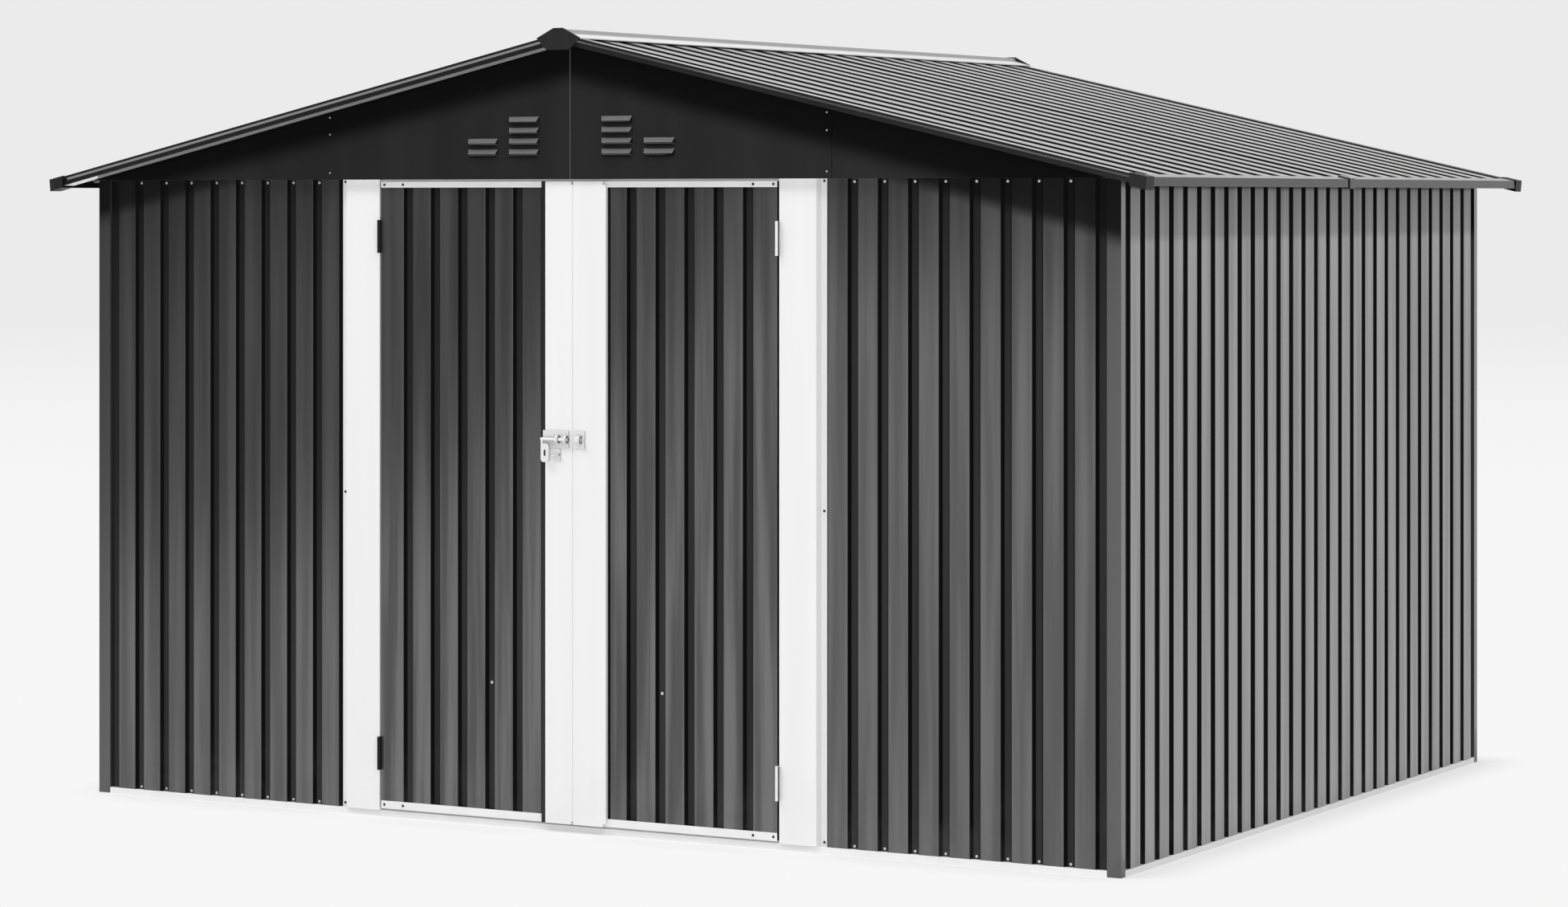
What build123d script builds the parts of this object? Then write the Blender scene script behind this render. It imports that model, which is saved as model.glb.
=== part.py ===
# Metal storage shed, hollow, with ribbed sheet walls, a shallow gable roof and a pair of hinged doors.
# Millimetres, +Z up, front towards -Y, origin under the middle of the roof at ground level.
# Every wall is drawn in its own frame: along the wall, and inwards from the crowns of its ribs.
import os
from math import cos, radians, sin, tan

from build123d import *

os.makedirs("parts", exist_ok=True)

# Overall sizes
wall_width = 2984.0
wall_depth = 2372.0
wall_top = 1626.0
roof_angle = 12.72
eave_rise = 21.216
ridge_rise = 16.0
eave_overhang = 98.0
rake_overhang = 78.0

# Sheet and fits
sheet_gauge = 0.7
frame_gauge = 1.0
seat = 0.3
lap_step = 0.8
moving_gap = 5.5

# Wall ribs
rib_valley = 16.0
rib_flank = 7.0
rib_depth = 10.0
front_rib_count = 10
front_rib_end = 51.7
side_rib_count = 29
side_rib_end = 38.0
side_lap_count = 13
rear_rib_count = 36
rear_rib_end = 57.0
rear_lap_counts = (12, 23)

# Base, posts and top rails
sill_height = 15.0
sill_upstand = 40.0
sill_flange = 32.0
anchor_end = 186.0
anchor_inset = 22.0
anchor_radius = 4.5
post_front_leg = 36.5
post_side_leg = 23.0
post_tuck = 22.0
side_tuck = 13.0
rail_drop = 36.0
rail_upstand = 12.0
rail_flange = 40.0
side_wall_rise = 10.0

# Doorway
doorway_half = 585.5
jamb_proud = 6.0
jamb_face = 102.5
jamb_step = 6.0
jamb_lip = 15.5
jamb_return = 40.0
jamb_hook = 15.0

# Gables
gable_proud = 25.0
gable_seam = 727.0
gable_lap = 26.0
gable_flange = 20.0
louvre_columns = (136.0, 258.0)
louvre_counts = (4, 2)
louvre_lowest = 75.0
louvre_rise = 27.0
louvre_width = 88.0
louvre_height = 14.0
louvre_proud = 7.0
louvre_taper = 3.5
louvre_lip = 2.0

# Roof
roof_valley = 29.0
roof_flank = 9.0
roof_depth = 7.0
roof_rib_count = 22
roof_lap_count = 10
roof_edge_share = 0.63274
ridge_gap = 6.0
sheet_inset = 4.0
purlin_distance = 800.0
purlin_height = 40.0
purlin_flange = 35.0
purlin_end = 4.0
rake_top_flange = 35.0
rake_nose = 6.2
rake_step = 5.0
rake_height = 22.7
rake_bottom_flange = 44.0
rake_trim_start = 10.0
rake_end_gap = 32.0
eave_top_flange = 30.0
eave_height = 19.095
eave_bottom_flange = 18.0
eave_end_gap = 36.0
joiner_length = 36.0
joiner_proud = 3.0
cap_length = 44.0
cap_wall = 1.5
cap_proud = 4.0
cap_drop = 9.0
cap_lean = 3.0

# Ridge
ridge_flat = 13.0
ridge_half = 63.0
ridge_shoulder_drop = 25.0
ridge_crest_half = 12.0
ridge_crest_drop = 3.0
ridge_step_half = 17.0
ridge_step_drop = 13.0
ridge_lip = 2.4
end_cap_thickness = 4.0
end_cap_foot_half = 32.5
end_cap_drop = 54.5

# Doors
door_rib_count = 5
door_rib_start = 77.25
door_rib_end = 82.2
stile_width = 87.0
stile_proud = 16.0
stile_hook = 37.0
door_back = 5.0
stile_lap = 30.0
top_rail_height = 15.0
bottom_rail_height = 20.0
brace_rise = 338.5
brace_drop = 333.5
brace_height = 40.0
brace_depth = 12.0
brace_inset = 25.0

# Hinges
hinge_rise = 140.5
hinge_drop = 139.5
hinge_length = 84.0
hinge_offset = 2.5
hinge_proud = 12.0
barrel_radius = 5.0
pin_radius = 2.4
pin_clearance = 0.15
knuckle_gap = 0.4
leaf_gauge = 1.5
jamb_leaf_back = 14.0

# Slide bolt
latch_height = 978.0
latch_plate_height = 44.0
latch_plate_gauge = 2.0
latch_plate_length = 76.0
latch_plate_inset = 5.3
bolt_radius = 5.0
bolt_clearance = 0.5
bolt_proud = 24.5
bolt_length = 80.0
bolt_tip_inset = 6.0
guide_length = 8.0
guide_inset = 2.0
guide_pitch = 24.0
guide_width = 20.0
guide_wall = 2.0
guide_bend = 6.0
bolt_chamfer = 1.2
tongue_width = 24.0
tongue_length = 46.0
tongue_gauge = 2.5
tongue_neck = 6.0
neck_offset = 80.5
tongue_offset = 71.5
tongue_slot_width = 7.0
tongue_slot_length = 16.0
eye_offset = 41.5
eye_width = 16.0
eye_drop = 38.5
eye_proud = 10.4
eye_gauge = 2.5
eye_hole_radius = 3.0
eye_foot_height = 30.0
keeper_length = 30.0
keeper_loop_length = 14.0
keeper_clearance = 0.9

# Derived sizes
slope = tan(radians(roof_angle))
run_share = cos(radians(roof_angle))
rise_share = sin(radians(roof_angle))
half_width = wall_width / 2
half_depth = wall_depth / 2
eave_reach = half_width + eave_overhang
rake_reach = half_depth + rake_overhang
roof_apex = wall_top + eave_rise + half_width * slope
ridge_top = roof_apex + ridge_rise
backing = rib_depth + sheet_gauge + seat
roof_under = -(roof_depth + sheet_gauge + seat)
door_bottom = sill_height + moving_gap
door_top = wall_top - moving_gap
door_edge = doorway_half - moving_gap
meeting_half = moving_gap / 2
stile_edge = meeting_half + stile_width
hinge_x = doorway_half - hinge_offset

# Frames: the plan of each wall, the section of each wall and the section of the roof slope
front_plan = Plane(origin=(0, -half_depth, 0), x_dir=(1, 0, 0), z_dir=(0, 0, 1))
rear_plan = Plane(origin=(0, half_depth, 0), x_dir=(-1, 0, 0), z_dir=(0, 0, 1))
right_plan = Plane(origin=(half_width, 0, 0), x_dir=(0, 1, 0), z_dir=(0, 0, 1))
front_section = Plane(origin=(0, -half_depth, 0), x_dir=(0, 1, 0), z_dir=(1, 0, 0))
right_section = Plane(origin=(half_width, 0, 0), x_dir=(-1, 0, 0), z_dir=(0, 1, 0))
slope_section = Plane(origin=(0, 0, roof_apex), x_dir=(0, 1, 0), z_dir=(run_share, 0, -rise_share))
gable_section = Plane(origin=(0, 0, roof_apex), x_dir=(run_share, 0, -rise_share), z_dir=(0, -1, 0))


def roof_z(x, lift):
    """Height of a surface that lies this far above the crowns of the right roof slope."""
    return roof_apex - x * slope + lift / run_share


def folded(plane, line, gauge, length, side, both=False):
    """Folds a sheet along a line in the plane and draws it out square to the plane."""
    with BuildSketch(plane) as section:
        with BuildLine():
            Polyline(*line)
            offset(amount=gauge, side=side, kind=Kind.INTERSECTION)
        make_face()
    extrude(section.sketch, amount=length, both=both)


def plate(plane, outline, depth):
    """Draws a flat plate out from a closed outline in the plane."""
    with BuildSketch(plane) as section:
        with BuildLine():
            Polyline(*outline, close=True)
        make_face()
    extrude(section.sketch, amount=depth)


def rib_line(centres, level, drop, valley, flank):
    """Outer line of the pressed grooves at these centres, four bends for each."""
    line = []
    for centre in centres:
        line.append((centre - valley / 2 - flank, level))
        line.append((centre - valley / 2, level + drop))
        line.append((centre + valley / 2, level + drop))
        line.append((centre + valley / 2 + flank, level))
    return line


def wall_sheet(plan, start, centres, end, level, bottom, top):
    """A ribbed wall sheet that begins and ends on the floor of a groove."""
    bends = rib_line(centres, level, rib_depth, rib_valley, rib_flank)
    floor = level + rib_depth
    line = [(start, floor)] + bends[2:-2] + [(end, floor)]
    folded(plan.offset(bottom), line, sheet_gauge, top - bottom, Side.LEFT)


def centred_ribs(count, reach):
    """Centres of a row of grooves, spread evenly from one end of the wall to the other."""
    pitch = 2 * reach / (count - 1)
    return [index * pitch - reach for index in range(count)]


def keep(builder, label):
    """Names a finished part and writes it."""
    builder.part.label = label
    export_step(builder.part, f"parts/{label}.step")


def mirrored(source, about, label):
    """Makes and writes the opposite-handed copy of a part."""
    with BuildPart() as copy:
        mirror(source.part, about=about)
    keep(copy, label)


# Base rails: an outer lip, a shelf for the sheets and an upstand that takes their screws
sill_line = [
    (sill_flange, 0),
    (0, 0),
    (0, sill_height),
    (backing, sill_height),
    (backing, sill_upstand),
]
front_sill_half = half_width - post_front_leg - seat
side_sill_half = half_depth - post_side_leg - seat

with BuildPart() as front_sill:
    folded(front_section, sill_line, frame_gauge, front_sill_half, Side.RIGHT, both=True)
keep(front_sill, "front_sill")
mirrored(front_sill, Plane.XZ, "rear_sill")

with BuildPart() as side_sills:
    folded(right_section, sill_line, frame_gauge, side_sill_half, Side.RIGHT, both=True)
    with Locations(*[(half_width - anchor_inset, y, 0) for y in (anchor_end - half_depth, half_depth - anchor_end)]):
        Cylinder(anchor_radius, sill_height, mode=Mode.SUBTRACT)
    mirror(about=Plane.YZ)
keep(side_sills, "side_sills")

# Corner posts: angles whose edges turn in to meet the sheets
post_turn = rib_depth - lap_step - seat
post_line = [
    (half_width - post_front_leg, post_turn),
    (half_width - post_front_leg, 0),
    (half_width, 0),
    (half_width, post_side_leg),
    (half_width - post_turn, post_side_leg),
]
with BuildPart() as front_right_post:
    folded(front_plan, post_line, frame_gauge, wall_top, Side.LEFT)
keep(front_right_post, "front_right_post")
mirrored(front_right_post, Plane.YZ, "front_left_post")
mirrored(front_right_post, Plane.XZ, "rear_right_post")
with BuildPart() as rear_left_post:
    mirror(mirror(front_right_post.part, about=Plane.XZ, mode=Mode.PRIVATE), about=Plane.YZ)
keep(rear_left_post, "rear_left_post")

# Wall sheets
front_first_rib = doorway_half + jamb_face + jamb_step + seat + rib_valley / 2
front_rib_pitch = (half_width - front_rib_end - front_first_rib) / (front_rib_count - 1)
front_ribs = [front_first_rib + index * front_rib_pitch for index in range(front_rib_count)]
with BuildPart() as front_right_wall:
    front_start = front_first_rib - rib_valley / 2
    wall_sheet(front_plan, front_start, front_ribs, half_width - post_tuck, 0, sill_height, wall_top)
keep(front_right_wall, "front_right_wall")
mirrored(front_right_wall, Plane.YZ, "front_left_wall")

side_ribs = centred_ribs(side_rib_count, half_depth - side_rib_end)
side_lap = side_ribs[side_lap_count]
side_end = half_depth - side_tuck
with BuildPart() as right_wall:
    first = side_ribs[: side_lap_count + 1]
    second = side_ribs[side_lap_count:]
    side_top = wall_top + side_wall_rise
    floor_half = rib_valley / 2
    wall_sheet(right_plan, -side_end, first, side_lap + floor_half, 0, sill_height, side_top)
    wall_sheet(right_plan, side_lap - floor_half, second, side_end, -lap_step, sill_height, side_top)
keep(right_wall, "right_wall")
mirrored(right_wall, Plane.YZ, "left_wall")

rear_ribs = centred_ribs(rear_rib_count, half_width - rear_rib_end)
rear_end = half_width - post_tuck
with BuildPart() as rear_wall:
    low, high = rear_lap_counts
    low_lap = rear_ribs[low]
    high_lap = rear_ribs[high]
    wall_sheet(rear_plan, -rear_end, rear_ribs[: low + 1], low_lap + floor_half, 0, sill_height, wall_top)
    middle = rear_ribs[low : high + 1]
    wall_sheet(
        rear_plan, low_lap - floor_half, middle, high_lap + floor_half, -lap_step, sill_height, wall_top
    )
    wall_sheet(rear_plan, high_lap - floor_half, rear_ribs[high:], rear_end, 0, sill_height, wall_top)
keep(rear_wall, "rear_wall")

# Door jambs: a proud face, a step down to a lip in the first groove, and a return for the hinges
lip_level = rib_depth - frame_gauge
jamb_line = [
    (doorway_half + jamb_face + jamb_step + jamb_lip, lip_level),
    (doorway_half + jamb_face + jamb_step, lip_level),
    (doorway_half + jamb_face, -jamb_proud),
    (doorway_half, -jamb_proud),
    (doorway_half, jamb_return),
    (doorway_half + jamb_hook, jamb_return),
]
with BuildPart() as right_door_jamb:
    folded(front_plan.offset(sill_height), jamb_line, frame_gauge, wall_top - sill_height, Side.RIGHT)
    notches = ((sill_height, sill_upstand + seat), (wall_top - rail_drop - seat, wall_top))
    for notch_low, notch_high in notches:
        with Locations((doorway_half, -half_depth + backing - seat, notch_low)):
            notch_align = (Align.MIN, Align.MIN, Align.MIN)
            Box(jamb_hook, jamb_return, notch_high - notch_low, align=notch_align, mode=Mode.SUBTRACT)
keep(right_door_jamb, "right_door_jamb")
mirrored(right_door_jamb, Plane.YZ, "left_door_jamb")

# Top rails: behind the sheets, with a ledge out to the gable or a flange under the roof
gable_back = -(gable_proud - sheet_gauge - lap_step - seat)
front_rail_line = [
    (backing, wall_top - rail_drop),
    (backing, wall_top + seat),
    (gable_back, wall_top + seat),
    (gable_back, wall_top + rail_upstand),
]
front_rail_half = half_width - backing - frame_gauge - seat
with BuildPart() as front_top_rail:
    folded(front_section, front_rail_line, frame_gauge, front_rail_half, Side.RIGHT, both=True)
keep(front_top_rail, "front_top_rail")
mirrored(front_top_rail, Plane.XZ, "rear_top_rail")

rail_x = half_width - backing
side_rail_line = [
    (backing, wall_top - rail_drop),
    (backing, roof_z(rail_x, roof_under)),
    (backing + rail_flange * run_share, roof_z(rail_x - rail_flange * run_share, roof_under)),
]
side_rail_half = half_depth - backing - frame_gauge - seat
with BuildPart() as side_top_rails:
    folded(right_section, side_rail_line, frame_gauge, side_rail_half, Side.RIGHT, both=True)
    mirror(about=Plane.YZ)
keep(side_top_rails, "side_top_rails")

# Gables: a louvred middle panel and a plain wing on each side, flanged under the roof
gable_face = Plane(origin=(0, -half_depth - gable_proud, 0), x_dir=(1, 0, 0), z_dir=(0, -1, 0))


def gable_panel(start, end, flange_start, flange_end, level):
    """A panel from the wall top to the roof, with its top edge turned back along the slope."""
    front = gable_face.offset(-level)
    outline = [
        (start, wall_top),
        (end, wall_top),
        (end, roof_z(end, roof_under)),
        (start, roof_z(start, roof_under)),
    ]
    plate(front, outline, -sheet_gauge)
    turned = [
        (flange_start, roof_z(flange_start, roof_under - sheet_gauge)),
        (flange_end, roof_z(flange_end, roof_under - sheet_gauge)),
        (flange_end, roof_z(flange_end, roof_under)),
        (flange_start, roof_z(flange_start, roof_under)),
    ]
    plate(front, turned, -gable_flange)


def louvre(x, top):
    """A pressed hood, fixed along its top and open below."""
    spot = Plane(origin=(x, -half_depth - gable_proud, top), x_dir=(1, 0, 0), z_dir=(0, 0, -1))
    hood_align = (Align.CENTER, Align.MIN, Align.MIN)
    with Locations(spot):
        Wedge(
            louvre_width,
            louvre_proud,
            louvre_height,
            louvre_taper,
            louvre_height - louvre_lip,
            louvre_width - louvre_taper,
            louvre_height,
            align=hood_align,
        )
    hollow = spot.offset(2 * sheet_gauge)
    hollow.origin = hollow.origin + Vector(0, sheet_gauge, 0)
    with Locations(hollow):
        Wedge(
            louvre_width - 2 * sheet_gauge,
            louvre_proud,
            louvre_height,
            louvre_taper,
            louvre_height - louvre_lip,
            louvre_width - 2 * sheet_gauge - louvre_taper,
            louvre_height,
            align=hood_align,
            mode=Mode.SUBTRACT,
        )


with BuildPart() as front_gable_right:
    lap_half = gable_lap / 2
    lap_start = gable_seam - lap_half
    lap_end = gable_seam + lap_half
    gable_panel(seat, lap_end, ridge_gap, lap_start - seat, 0)
    for column, count in zip(louvre_columns, louvre_counts):
        for row in range(count):
            louvre(column, wall_top + louvre_lowest + row * louvre_rise)
    gable_panel(lap_start, half_width, lap_end + seat, half_width, lap_step)
keep(front_gable_right, "front_gable_right")
mirrored(front_gable_right, Plane.YZ, "front_gable_left")
with BuildPart() as rear_gable:
    mirror(front_gable_right.part, about=Plane.XZ)
    mirror(about=Plane.YZ)
keep(rear_gable, "rear_gable")

# Roof sheets: ribs run down the slope, one lap on each side
roof_sheet_half = rake_reach - frame_gauge - rake_step
roof_spaces = roof_rib_count - 1
roof_rib_reach = roof_sheet_half * roof_spaces / (roof_spaces + 2 * roof_edge_share)
roof_ribs = centred_ribs(roof_rib_count, roof_rib_reach)
roof_lap = roof_ribs[roof_lap_count]
roof_sheet_length = (eave_reach - sheet_inset) / run_share - ridge_gap


def roof_sheet(start, centres, end, level, begins_low, ends_low):
    """A ribbed roof sheet on the right slope; its ends lie on a crown, or on a groove's floor at a lap."""
    bends = rib_line(centres, level, -roof_depth, roof_valley, roof_flank)
    line = [(start, level - roof_depth if begins_low else level)]
    line += bends[2 if begins_low else 0 : len(bends) - (2 if ends_low else 0)]
    line.append((end, level - roof_depth if ends_low else level))
    folded(slope_section.offset(ridge_gap), line, sheet_gauge, roof_sheet_length, Side.RIGHT)


with BuildPart() as right_roof:
    roof_floor_half = roof_valley / 2
    front_part = roof_ribs[: roof_lap_count + 1]
    rear_part = roof_ribs[roof_lap_count:]
    roof_sheet(-roof_sheet_half, front_part, roof_lap + roof_floor_half, 0, False, True)
    roof_sheet(roof_lap - roof_floor_half, rear_part, roof_sheet_half, lap_step, True, False)
keep(right_roof, "right_roof")
mirrored(right_roof, Plane.YZ, "left_roof")

# Purlins under the middle of each slope
purlin_line = [
    (purlin_distance + purlin_flange, roof_under),
    (purlin_distance, roof_under),
    (purlin_distance, roof_under - purlin_height),
    (purlin_distance + purlin_flange, roof_under - purlin_height),
]
with BuildPart() as roof_purlins:
    folded(gable_section, purlin_line, frame_gauge, half_depth + purlin_end, Side.LEFT, both=True)
    mirror(about=Plane.YZ)
keep(roof_purlins, "roof_purlins")

# Rake trims along the sloping roof edges
trim_lift = lap_step + seat + frame_gauge
rake_line = [
    (-rake_reach + rake_top_flange, trim_lift),
    (-rake_reach, trim_lift),
    (-rake_reach, trim_lift - rake_nose),
    (-rake_reach + rake_step, trim_lift - rake_nose - rake_step),
    (-rake_reach + rake_step, trim_lift - rake_height),
    (-rake_reach + rake_step + rake_bottom_flange, trim_lift - rake_height),
]
with BuildPart() as front_rake_trims:
    rake_start = rake_trim_start / run_share + trim_lift * slope
    rake_length = (eave_reach - rake_end_gap - rake_trim_start) / run_share
    folded(slope_section.offset(rake_start), rake_line, frame_gauge, rake_length, Side.LEFT)
    mirror(about=Plane.YZ)
keep(front_rake_trims, "front_rake_trims")
mirrored(front_rake_trims, Plane.XZ, "rear_rake_trims")

# Eave trims, each in two lengths with a joiner over the meeting ends
eave_bottom = roof_z(eave_reach, 0) - eave_height


def eave_line(grow):
    """Outer line of the eave trim, pushed outwards by this much."""
    outer = eave_reach + grow
    inner = eave_reach - eave_top_flange
    lift = trim_lift + grow
    return [
        (inner, roof_z(inner, lift)),
        (outer, roof_z(outer, lift)),
        (outer, eave_bottom - grow),
        (eave_reach - eave_bottom_flange, eave_bottom - grow),
    ]


eave_half = rake_reach - eave_end_gap
with BuildPart() as right_eave_trim:
    near = Plane.XZ.offset(seat)
    far = Plane.XZ.offset(-eave_half)
    for start in (near, far):
        folded(start, eave_line(0), frame_gauge, eave_half - seat, Side.RIGHT)
keep(right_eave_trim, "right_eave_trim")
mirrored(right_eave_trim, Plane.YZ, "left_eave_trim")

with BuildPart() as eave_joiners:
    joiner_gauge = joiner_proud - seat
    folded(Plane.XZ, eave_line(joiner_proud), joiner_gauge, joiner_length / 2, Side.RIGHT, both=True)
    mirror(about=Plane.YZ)
keep(eave_joiners, "eave_joiners")

# Corner caps, square to the roof and open towards it, so that both trims run into them
cap_rise = trim_lift + seat
cap_bottom = eave_bottom - cap_drop
with BuildPart() as eave_corner_caps:
    cap_outer = eave_reach + cap_proud
    cap_inner = cap_outer - cap_length
    cap_face = Plane.XZ.offset(rake_reach + cap_proud)
    cap_outline = [
        (cap_inner, cap_bottom + cap_length * slope),
        (cap_outer - cap_lean, cap_bottom),
        (cap_outer, roof_z(cap_outer, cap_rise + cap_wall)),
        (cap_inner, roof_z(cap_inner, cap_rise + cap_wall)),
    ]
    plate(cap_face, cap_outline, -cap_length)
    hollow_outer = cap_outer - cap_wall
    hollow_inner = cap_inner - cap_wall
    with BuildSketch(cap_face.offset(-cap_wall)) as hollow:
        with BuildLine():
            Polyline(
                (hollow_inner, cap_bottom + cap_wall + cap_length * slope),
                (hollow_outer - cap_lean, cap_bottom + cap_wall),
                (hollow_outer, roof_z(hollow_outer, cap_rise)),
                (hollow_inner, roof_z(hollow_inner, cap_rise)),
                close=True,
            )
        make_face()
    extrude(hollow.sketch, amount=-cap_length, mode=Mode.SUBTRACT)
    mirror(about=Plane.YZ)
    mirror(about=Plane.XZ)
keep(eave_corner_caps, "eave_corner_caps")

# Ridge cap, a low raised strip with sloping skirts, and the taller plates that close its ends
ridge_foot = roof_z(ridge_half, trim_lift + seat)
ridge_shoulder = ridge_top - ridge_shoulder_drop
with BuildPart() as ridge_cap:
    right_half = [
        (ridge_crest_half, ridge_top - ridge_crest_drop),
        (ridge_step_half, ridge_top - ridge_step_drop),
        (ridge_half, ridge_foot + ridge_lip),
        (ridge_half, ridge_foot),
    ]
    ridge_line = [(-x, z) for x, z in reversed(right_half)] + right_half
    folded(Plane.XZ, ridge_line, frame_gauge, rake_reach, Side.RIGHT, both=True)
keep(ridge_cap, "ridge_cap")

with BuildPart() as ridge_end_caps:
    end_cap_foot = ridge_top - end_cap_drop
    end_outline = [
        (-ridge_flat, ridge_top),
        (ridge_flat, ridge_top),
        (ridge_half, ridge_shoulder),
        (end_cap_foot_half, end_cap_foot),
        (-end_cap_foot_half, end_cap_foot),
        (-ridge_half, ridge_shoulder),
    ]
    plate(Plane.XZ.offset(rake_reach), end_outline, end_cap_thickness)
    mirror(about=Plane.XZ)
keep(ridge_end_caps, "ridge_end_caps")

# Doors: the right one is drawn and the left one mirrors it
door_first_rib = stile_edge + door_rib_start
door_rib_pitch = (door_edge - door_rib_end - door_first_rib) / (door_rib_count - 1)
door_ribs = [door_first_rib + index * door_rib_pitch for index in range(door_rib_count)]
door_plan = front_plan.offset(door_bottom)
with BuildPart() as right_door_sheet:
    door_sheet_line = [(stile_edge - stile_lap, -jamb_proud)]
    door_sheet_line += rib_line(door_ribs, -jamb_proud, rib_depth, rib_valley, rib_flank)
    door_sheet_line += [(door_edge, -jamb_proud), (door_edge, door_back)]
    rail_web = frame_gauge + seat
    sheet_height = door_top - door_bottom - 2 * rail_web
    folded(door_plan.offset(rail_web), door_sheet_line, sheet_gauge, sheet_height, Side.LEFT)
keep(right_door_sheet, "right_door_sheet")
mirrored(right_door_sheet, Plane.YZ, "left_door_sheet")

with BuildPart() as right_door_stile:
    stile_line = [
        (stile_edge, -jamb_proud - seat),
        (stile_edge, -stile_proud),
        (meeting_half, -stile_proud),
        (meeting_half, door_back),
        (meeting_half + stile_hook, door_back),
    ]
    folded(door_plan, stile_line, frame_gauge, door_top - door_bottom, Side.RIGHT)
keep(right_door_stile, "right_door_stile")
mirrored(right_door_stile, Plane.YZ, "left_door_stile")

rail_front = -(jamb_proud + seat + frame_gauge)
rail_back = door_back + frame_gauge
with BuildPart() as right_door_rails:
    rail_start = stile_edge + seat
    rail_section = front_section.offset(rail_start)
    top_line = [
        (rail_front, door_top - top_rail_height),
        (rail_front, door_top),
        (rail_back, door_top),
        (rail_back, door_top - top_rail_height),
    ]
    bottom_line = [
        (rail_back, door_bottom + bottom_rail_height),
        (rail_back, door_bottom),
        (rail_front, door_bottom),
        (rail_front, door_bottom + bottom_rail_height),
    ]
    for line in (top_line, bottom_line):
        folded(rail_section, line, frame_gauge, door_edge - rail_start, Side.RIGHT)
keep(right_door_rails, "right_door_rails")
mirrored(right_door_rails, Plane.YZ, "left_door_rails")

with BuildPart() as right_door_braces:
    brace_start = stile_edge + seat
    for height in (door_bottom + brace_rise, door_top - brace_drop):
        brace_line = [
            (door_back + brace_depth, height - brace_height / 2),
            (door_back, height - brace_height / 2),
            (door_back, height + brace_height / 2),
            (door_back + brace_depth, height + brace_height / 2),
        ]
        brace_length = door_edge - brace_inset - brace_start
        folded(front_section.offset(brace_start), brace_line, frame_gauge, brace_length, Side.RIGHT)
keep(right_door_braces, "right_door_braces")
mirrored(right_door_braces, Plane.YZ, "left_door_braces")

# Hinges: three knuckles on one pin, with both leaves folded into the gap beside the door
hinge_heights = (door_bottom + hinge_rise, door_top - hinge_drop)
hinge_y = -half_depth - hinge_proud
knuckle = hinge_length / 3
leaf_front = -half_depth - jamb_proud
tab_front = hinge_y + pin_radius + pin_clearance + frame_gauge


def leaf_plate(x, back, front, bottom, height):
    """One flat plate of a hinge leaf, from its inner side to its face side."""
    with Locations((x, front, bottom)):
        Box(leaf_gauge, back - front, height, align=(Align.CENTER, Align.MIN, Align.MIN))


with BuildPart() as jamb_hinges:
    for height in hinge_heights:
        low = height - hinge_length / 2
        leaf_x = doorway_half - leaf_gauge / 2
        leaf_plate(leaf_x, -half_depth + jamb_leaf_back, leaf_front, low, hinge_length)
        for bottom in (low, low + 2 * knuckle + knuckle_gap):
            length = knuckle - knuckle_gap
            leaf_plate(leaf_x, leaf_front, tab_front, bottom, length)
            with Locations((hinge_x, hinge_y, bottom)):
                Cylinder(barrel_radius, length, align=(Align.CENTER, Align.CENTER, Align.MIN))
        with Locations((hinge_x, hinge_y, low)):
            Cylinder(pin_radius, hinge_length, align=(Align.CENTER, Align.CENTER, Align.MIN))
    mirror(about=Plane.YZ)
keep(jamb_hinges, "jamb_hinges")

with BuildPart() as right_door_hinges:
    for height in hinge_heights:
        low = height - hinge_length / 2
        leaf_x = door_edge + leaf_gauge / 2
        leaf_plate(leaf_x, -half_depth + door_back, leaf_front, low, hinge_length)
        leaf_plate(leaf_x, leaf_front, tab_front, low + knuckle, knuckle)
        with Locations((hinge_x, hinge_y, height)):
            Cylinder(barrel_radius, knuckle)
            Cylinder(pin_radius + pin_clearance, knuckle, mode=Mode.SUBTRACT)
keep(right_door_hinges, "right_door_hinges")
mirrored(right_door_hinges, Plane.YZ, "left_door_hinges")

# Slide bolt: guides and an eye on the left stile, a keeper on the right one
stile_face = Plane(origin=(0, -half_depth - stile_proud, latch_height), x_dir=(1, 0, 0), z_dir=(0, -1, 0))
bolt_lift = bolt_proud - stile_proud
guide_depth = bolt_lift + bolt_radius + bolt_clearance + guide_wall
on_face = (Align.CENTER, Align.CENTER, Align.MIN)
plate_middle = -meeting_half - latch_plate_inset - latch_plate_length / 2


def bolt_loop(x, length, clearance):
    """A bent strap on the stile with a round way through it for the bolt."""
    across = Plane(stile_face.from_local_coords((x - length / 2, 0, 0)), stile_face.y_dir, stile_face.x_dir)
    half = guide_width / 2
    right_half = [(half, 0), (half, guide_depth - guide_bend), (half - guide_bend, guide_depth)]
    plate(across, right_half + [(-y, z) for y, z in reversed(right_half)], length)
    with Locations(stile_face * Pos(x, 0, bolt_lift) * Rot(0, 90, 0)):
        Cylinder(bolt_radius + clearance, length, mode=Mode.SUBTRACT)


with BuildPart() as latch_guide:
    with Locations(stile_face * Pos(plate_middle, 0, 0)):
        Box(latch_plate_length, latch_plate_height, latch_plate_gauge, align=on_face)
    near_guide = plate_middle + latch_plate_length / 2 - guide_inset - guide_length / 2
    for guide_x in (near_guide, near_guide - guide_pitch):
        bolt_loop(guide_x, guide_length, bolt_clearance)
    with Locations(stile_face * Pos(-eye_offset, -eye_drop, 0)):
        Box(eye_width, eye_foot_height, latch_plate_gauge, align=on_face)
        Box(eye_width, eye_gauge, eye_proud, align=on_face)
    eye_middle = (eye_proud + latch_plate_gauge) / 2
    with Locations(stile_face * Pos(-eye_offset, -eye_drop, eye_middle) * Rot(90, 0, 0)):
        Cylinder(eye_hole_radius, eye_gauge, mode=Mode.SUBTRACT)
keep(latch_guide, "latch_guide")

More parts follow.
